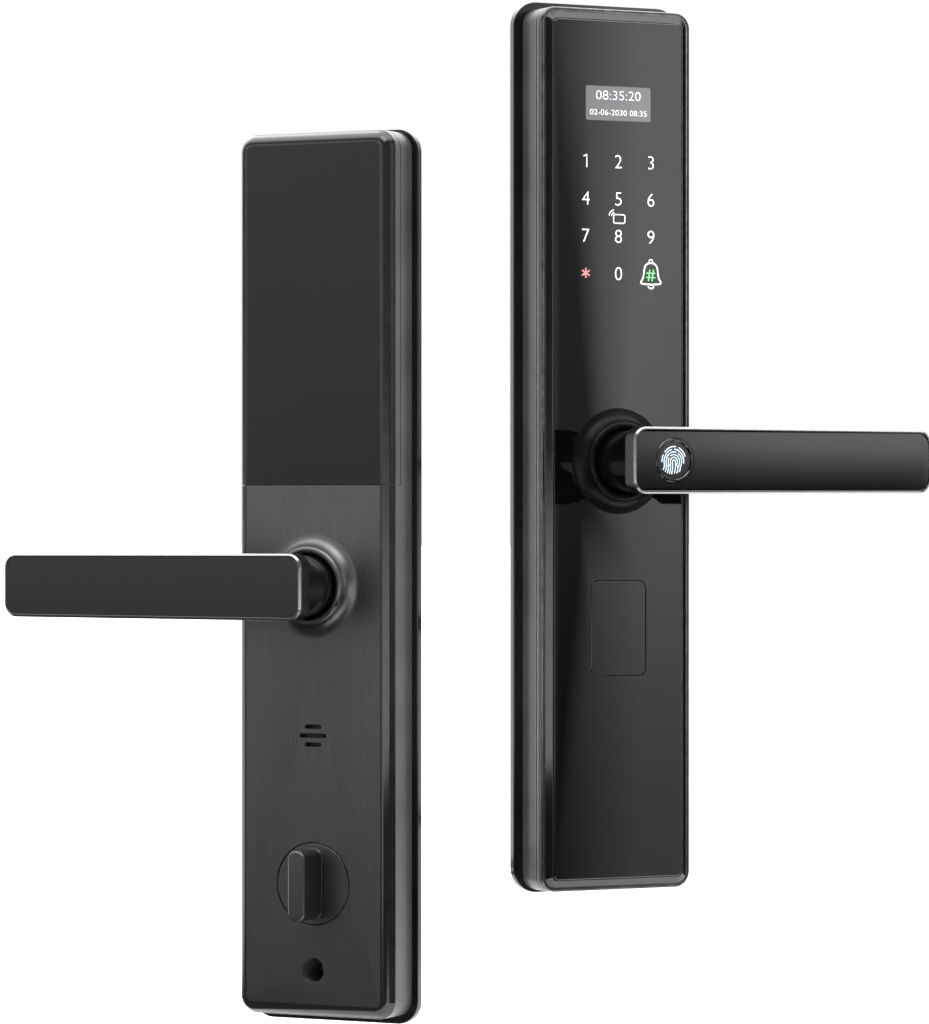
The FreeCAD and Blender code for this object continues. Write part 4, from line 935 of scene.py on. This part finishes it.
# For each zone: its direction, the cosines where it starts and is full, its strength outside and inside.
light = zone((0.1, -1.0, 0.0), 0.5, 0.85, 0.3, 0.12)
bright_above = zone((0.1, 0.2, 1.0), 0.45, 0.8, 0.0, 3.2)
bright_behind = zone((0.3, 0.95, 0.0), 0.2, 0.7, 0.0, 2.0)
dark_right = zone((0.99, -0.14, 0.0), 0.95, 0.985, 1.0, 0.05)
dark_left = zone((-0.8, 0.6, 0.0), 0.93, 0.98, 1.0, 0.05)
for operation, factor in (("ADD", bright_above), ("ADD", bright_behind), ("MULTIPLY", dark_right),
                          ("MULTIPLY", dark_left)):
    light = add_node(sky, "Math", {"operation": operation}, {0: light, 1: factor}).outputs[0]
seen = add_node(sky, "LightPath").outputs["Is Camera Ray"]
backdrop = add_node(sky, "MapRange", {"To Max": 1.0}, {"Value": seen, "To Min": light})
sky.nodes["Background"].inputs["Color"].default_value = (1, 1, 1, 1)
sky.links.new(backdrop.outputs["Result"], sky.nodes["Background"].inputs["Strength"])
print("room nodes:", len(sky.nodes))

# %% [markdown]
# The floor lies 30 mm under the lock, low enough for the lock's bottom edges to catch some light.

# %% Floor
floor_paint, shader, place = new_finish("matte white studio paint", "f4f4f4", 0.9)
# Matte wall paint: white and dull, with a trace of dust, and faintly lit by the lamps around it.
dust = add_node(shader.id_data, "TexNoise", {"Scale": 3.0, "Detail": 2.0}, {"Vector": place}).outputs["Fac"]
vary_colour(shader, dust, "f2f2f2", "f7f7f7", 0.0, 1.0)
shader.inputs["Emission Color"].default_value = (1, 1, 1, 1)
shader.inputs["Emission Strength"].default_value = 0.1

floor_level = cad_box[0][2] - 30 * mm
bpy.ops.object.select_all(action="DESELECT")
bpy.ops.mesh.primitive_plane_add(size=60, location=(0, 0, floor_level))
floor = bpy.context.object
floor.name = "floor"
floor.data.materials.append(floor_paint)
print("floor level, mm:", round(floor_level / mm, 1))

# %% [markdown]
# Two soft panels stand out of the camera's sight where the two faces look: one in front of the keypad,
# brighter at its top and right, and one for the brushed face. Each is a plane whose glow fades across it.
# They cast no shadow.

# %% Soft panels
def soft_panel(name, place_at, facing, width, height, brightness, across_range, rise_range):
    """A glowing plane that faces a point; brightness gives (low start, low end, high start, high end)."""
    glow = bpy.data.materials.new(name + " glow")
    glow.use_nodes = True
    tree = glow.node_tree
    tree.nodes.clear()
    split = add_node(tree, "SeparateXYZ", links={"Vector": add_node(tree, "TexCoord").outputs["UV"]})
    rows = [add_node(tree, "MapRange", {"From Min": across_range[0], "From Max": across_range[1],
                                        "To Min": brightness[start], "To Max": brightness[start + 1]},
                     {"Value": split.outputs["X"]}).outputs["Result"] for start in (0, 2)]
    rise = add_node(tree, "MapRange", {"interpolation_type": "SMOOTHSTEP", "From Min": rise_range[0],
                                       "From Max": rise_range[1]}, {"Value": split.outputs["Y"]})
    strength = add_node(tree, "MapRange", {}, {"Value": rise.outputs["Result"], "To Min": rows[0],
                                               "To Max": rows[1]})
    light = add_node(tree, "Emission", {"Color": (1, 1, 1, 1)}, {"Strength": strength.outputs["Result"]})
    add_node(tree, "OutputMaterial", links={"Surface": light.outputs["Emission"]})
    towards = Vector(facing) - Vector(place_at)
    bpy.ops.object.select_all(action="DESELECT")
    bpy.ops.mesh.primitive_plane_add(size=1, location=place_at,
                                     rotation=towards.to_track_quat("Z", "Y").to_euler())
    panel = bpy.context.object
    panel.name = name
    panel.scale = (width, height, 1)
    panel.data.materials.append(glow)
    panel.visible_camera = False
    panel.visible_shadow = False
    print(name, "m from what it lights:", round(towards.length, 2))


keypad_panel_away, brushed_panel_away = 0.55, 0.7
keypad_mirror = Vector((0.4625, -0.8866, 0))
soft_panel("keypad_soft_panel", keypad_mirror * keypad_panel_away, (0, 0, 0), width=0.5, height=0.9,
           brightness=(0.0, 0.9, 0.35, 2.7), across_range=(0.575, 0.465), rise_range=(0.25, 0.65))
brushed_mirror = Vector((-0.993, -0.113, 0))
indoor_middle = middle("indoor_housing")
soft_panel("brushed_soft_panel", indoor_middle + brushed_mirror * brushed_panel_away, indoor_middle,
           width=0.8, height=1.0, brightness=(0.35, 0.35, 1.2, 1.2), across_range=(0.0, 1.0),
           rise_range=(0.2, 0.9))

# %% [markdown]
# Black flags take light away, as a studio would place them: flat on the floor, or standing up.

# %% Flag helpers
def black_flag(name, place_at, width, height, look=None, cloth=rubber):
    """A black card that only polished parts mirror: on the floor, or upright and square to look."""
    bpy.ops.object.select_all(action="DESELECT")
    stand = (0, 0, 0)
    if look is not None:
        stand = (math.radians(90), 0, math.atan2(look.y, look.x) + math.radians(90))
    bpy.ops.mesh.primitive_plane_add(size=1, location=place_at, rotation=stand)
    flag = bpy.context.object
    flag.name = name
    flag.scale = (width, height, 1)
    flag.data.materials.append(cloth)
    flag.visible_camera = False
    flag.visible_diffuse = False
    flag.visible_shadow = False
    print(name, "stands at, m:", [round(c, 3) for c in place_at])


def on_floor(spot):
    """The point of the floor under a spot, just clear of it."""
    return Vector((spot.x, spot.y, floor_level + 2 * mm))


print("flag helpers ready")

# %% [markdown]
# Two flags lie on the floor where the brushed face and the keypad would mirror it, and two stand where the
# frame's bevels look. The fifth is a net just in front of the lever, thinner towards its top, so that the
# lever's face darkens gently towards its foot.

# %% Net and flags
net = bpy.data.materials.new("black net")
net.use_nodes = True
tree = net.node_tree
up = add_node(tree, "SeparateXYZ", links={"Vector": add_node(tree, "TexCoord").outputs["UV"]}).outputs["Y"]
density = add_node(tree, "MapRange", {"From Min": 0.2, "From Max": 1.0, "To Min": 1.0, "To Max": 0.0},
                   {"Value": up})
holes, threads = add_node(tree, "BsdfTransparent"), add_node(tree, "BsdfDiffuse", {"Color": linear("050505")})
weave = add_node(tree, "MixShader", links={0: density.outputs["Result"], 1: holes.outputs["BSDF"],
                                           2: threads.outputs["BSDF"]})
tree.links.new(weave.outputs["Shader"], tree.nodes["Material Output"].inputs["Surface"])

brushed_flag_away, keypad_flag_away, bevel_flags_away = 0.46, 0.42, 0.35
facet_mirror, bevel_mirror = Vector((-0.455, -0.89, 0)), Vector((0.99, -0.14, 0))
brushed_spot = on_floor(indoor_middle + brushed_mirror * brushed_flag_away)
keypad_spot = on_floor(keypad_mirror * keypad_flag_away)
lever_spot = middle("outdoor_lever_face") + Vector((6.0, -12.0, -5.2)) * mm
facet_spot = on_floor(facet_mirror * bevel_flags_away) + Vector((0, 0, 0.055))
bevel_spot = bevel_mirror * bevel_flags_away + Vector((0, 0, -0.04))
black_flag("brushed_flag", brushed_spot, width=0.85, height=0.85)
black_flag("keypad_flag", keypad_spot, width=0.5, height=0.5)
black_flag("lever_flag", lever_spot, width=0.1485, height=0.0264, look=outdoor_front, cloth=net)
black_flag("facet_flag", facet_spot, width=0.4, height=0.11, look=facet_mirror)
black_flag("bevel_flag", bevel_spot, width=0.2, height=0.46, look=bevel_mirror)

# %% [markdown]
# One round soft lamp above and in front of the lock lights everything a little.

# %% Lamp
bpy.ops.object.light_add(type="AREA", location=(-0.6, -1.0, 1.6))
top_light = bpy.context.object
top_light.name = "top_light"
top_light.data.shape = "DISK"
top_light.data.size = 1.2
top_light.data.energy = 12
top_light.rotation_euler = (Vector((0, 0, 0)) - top_light.location).to_track_quat("-Z", "Y").to_euler()
top_light.visible_camera = False
print("lamp power, W:", top_light.data.energy)
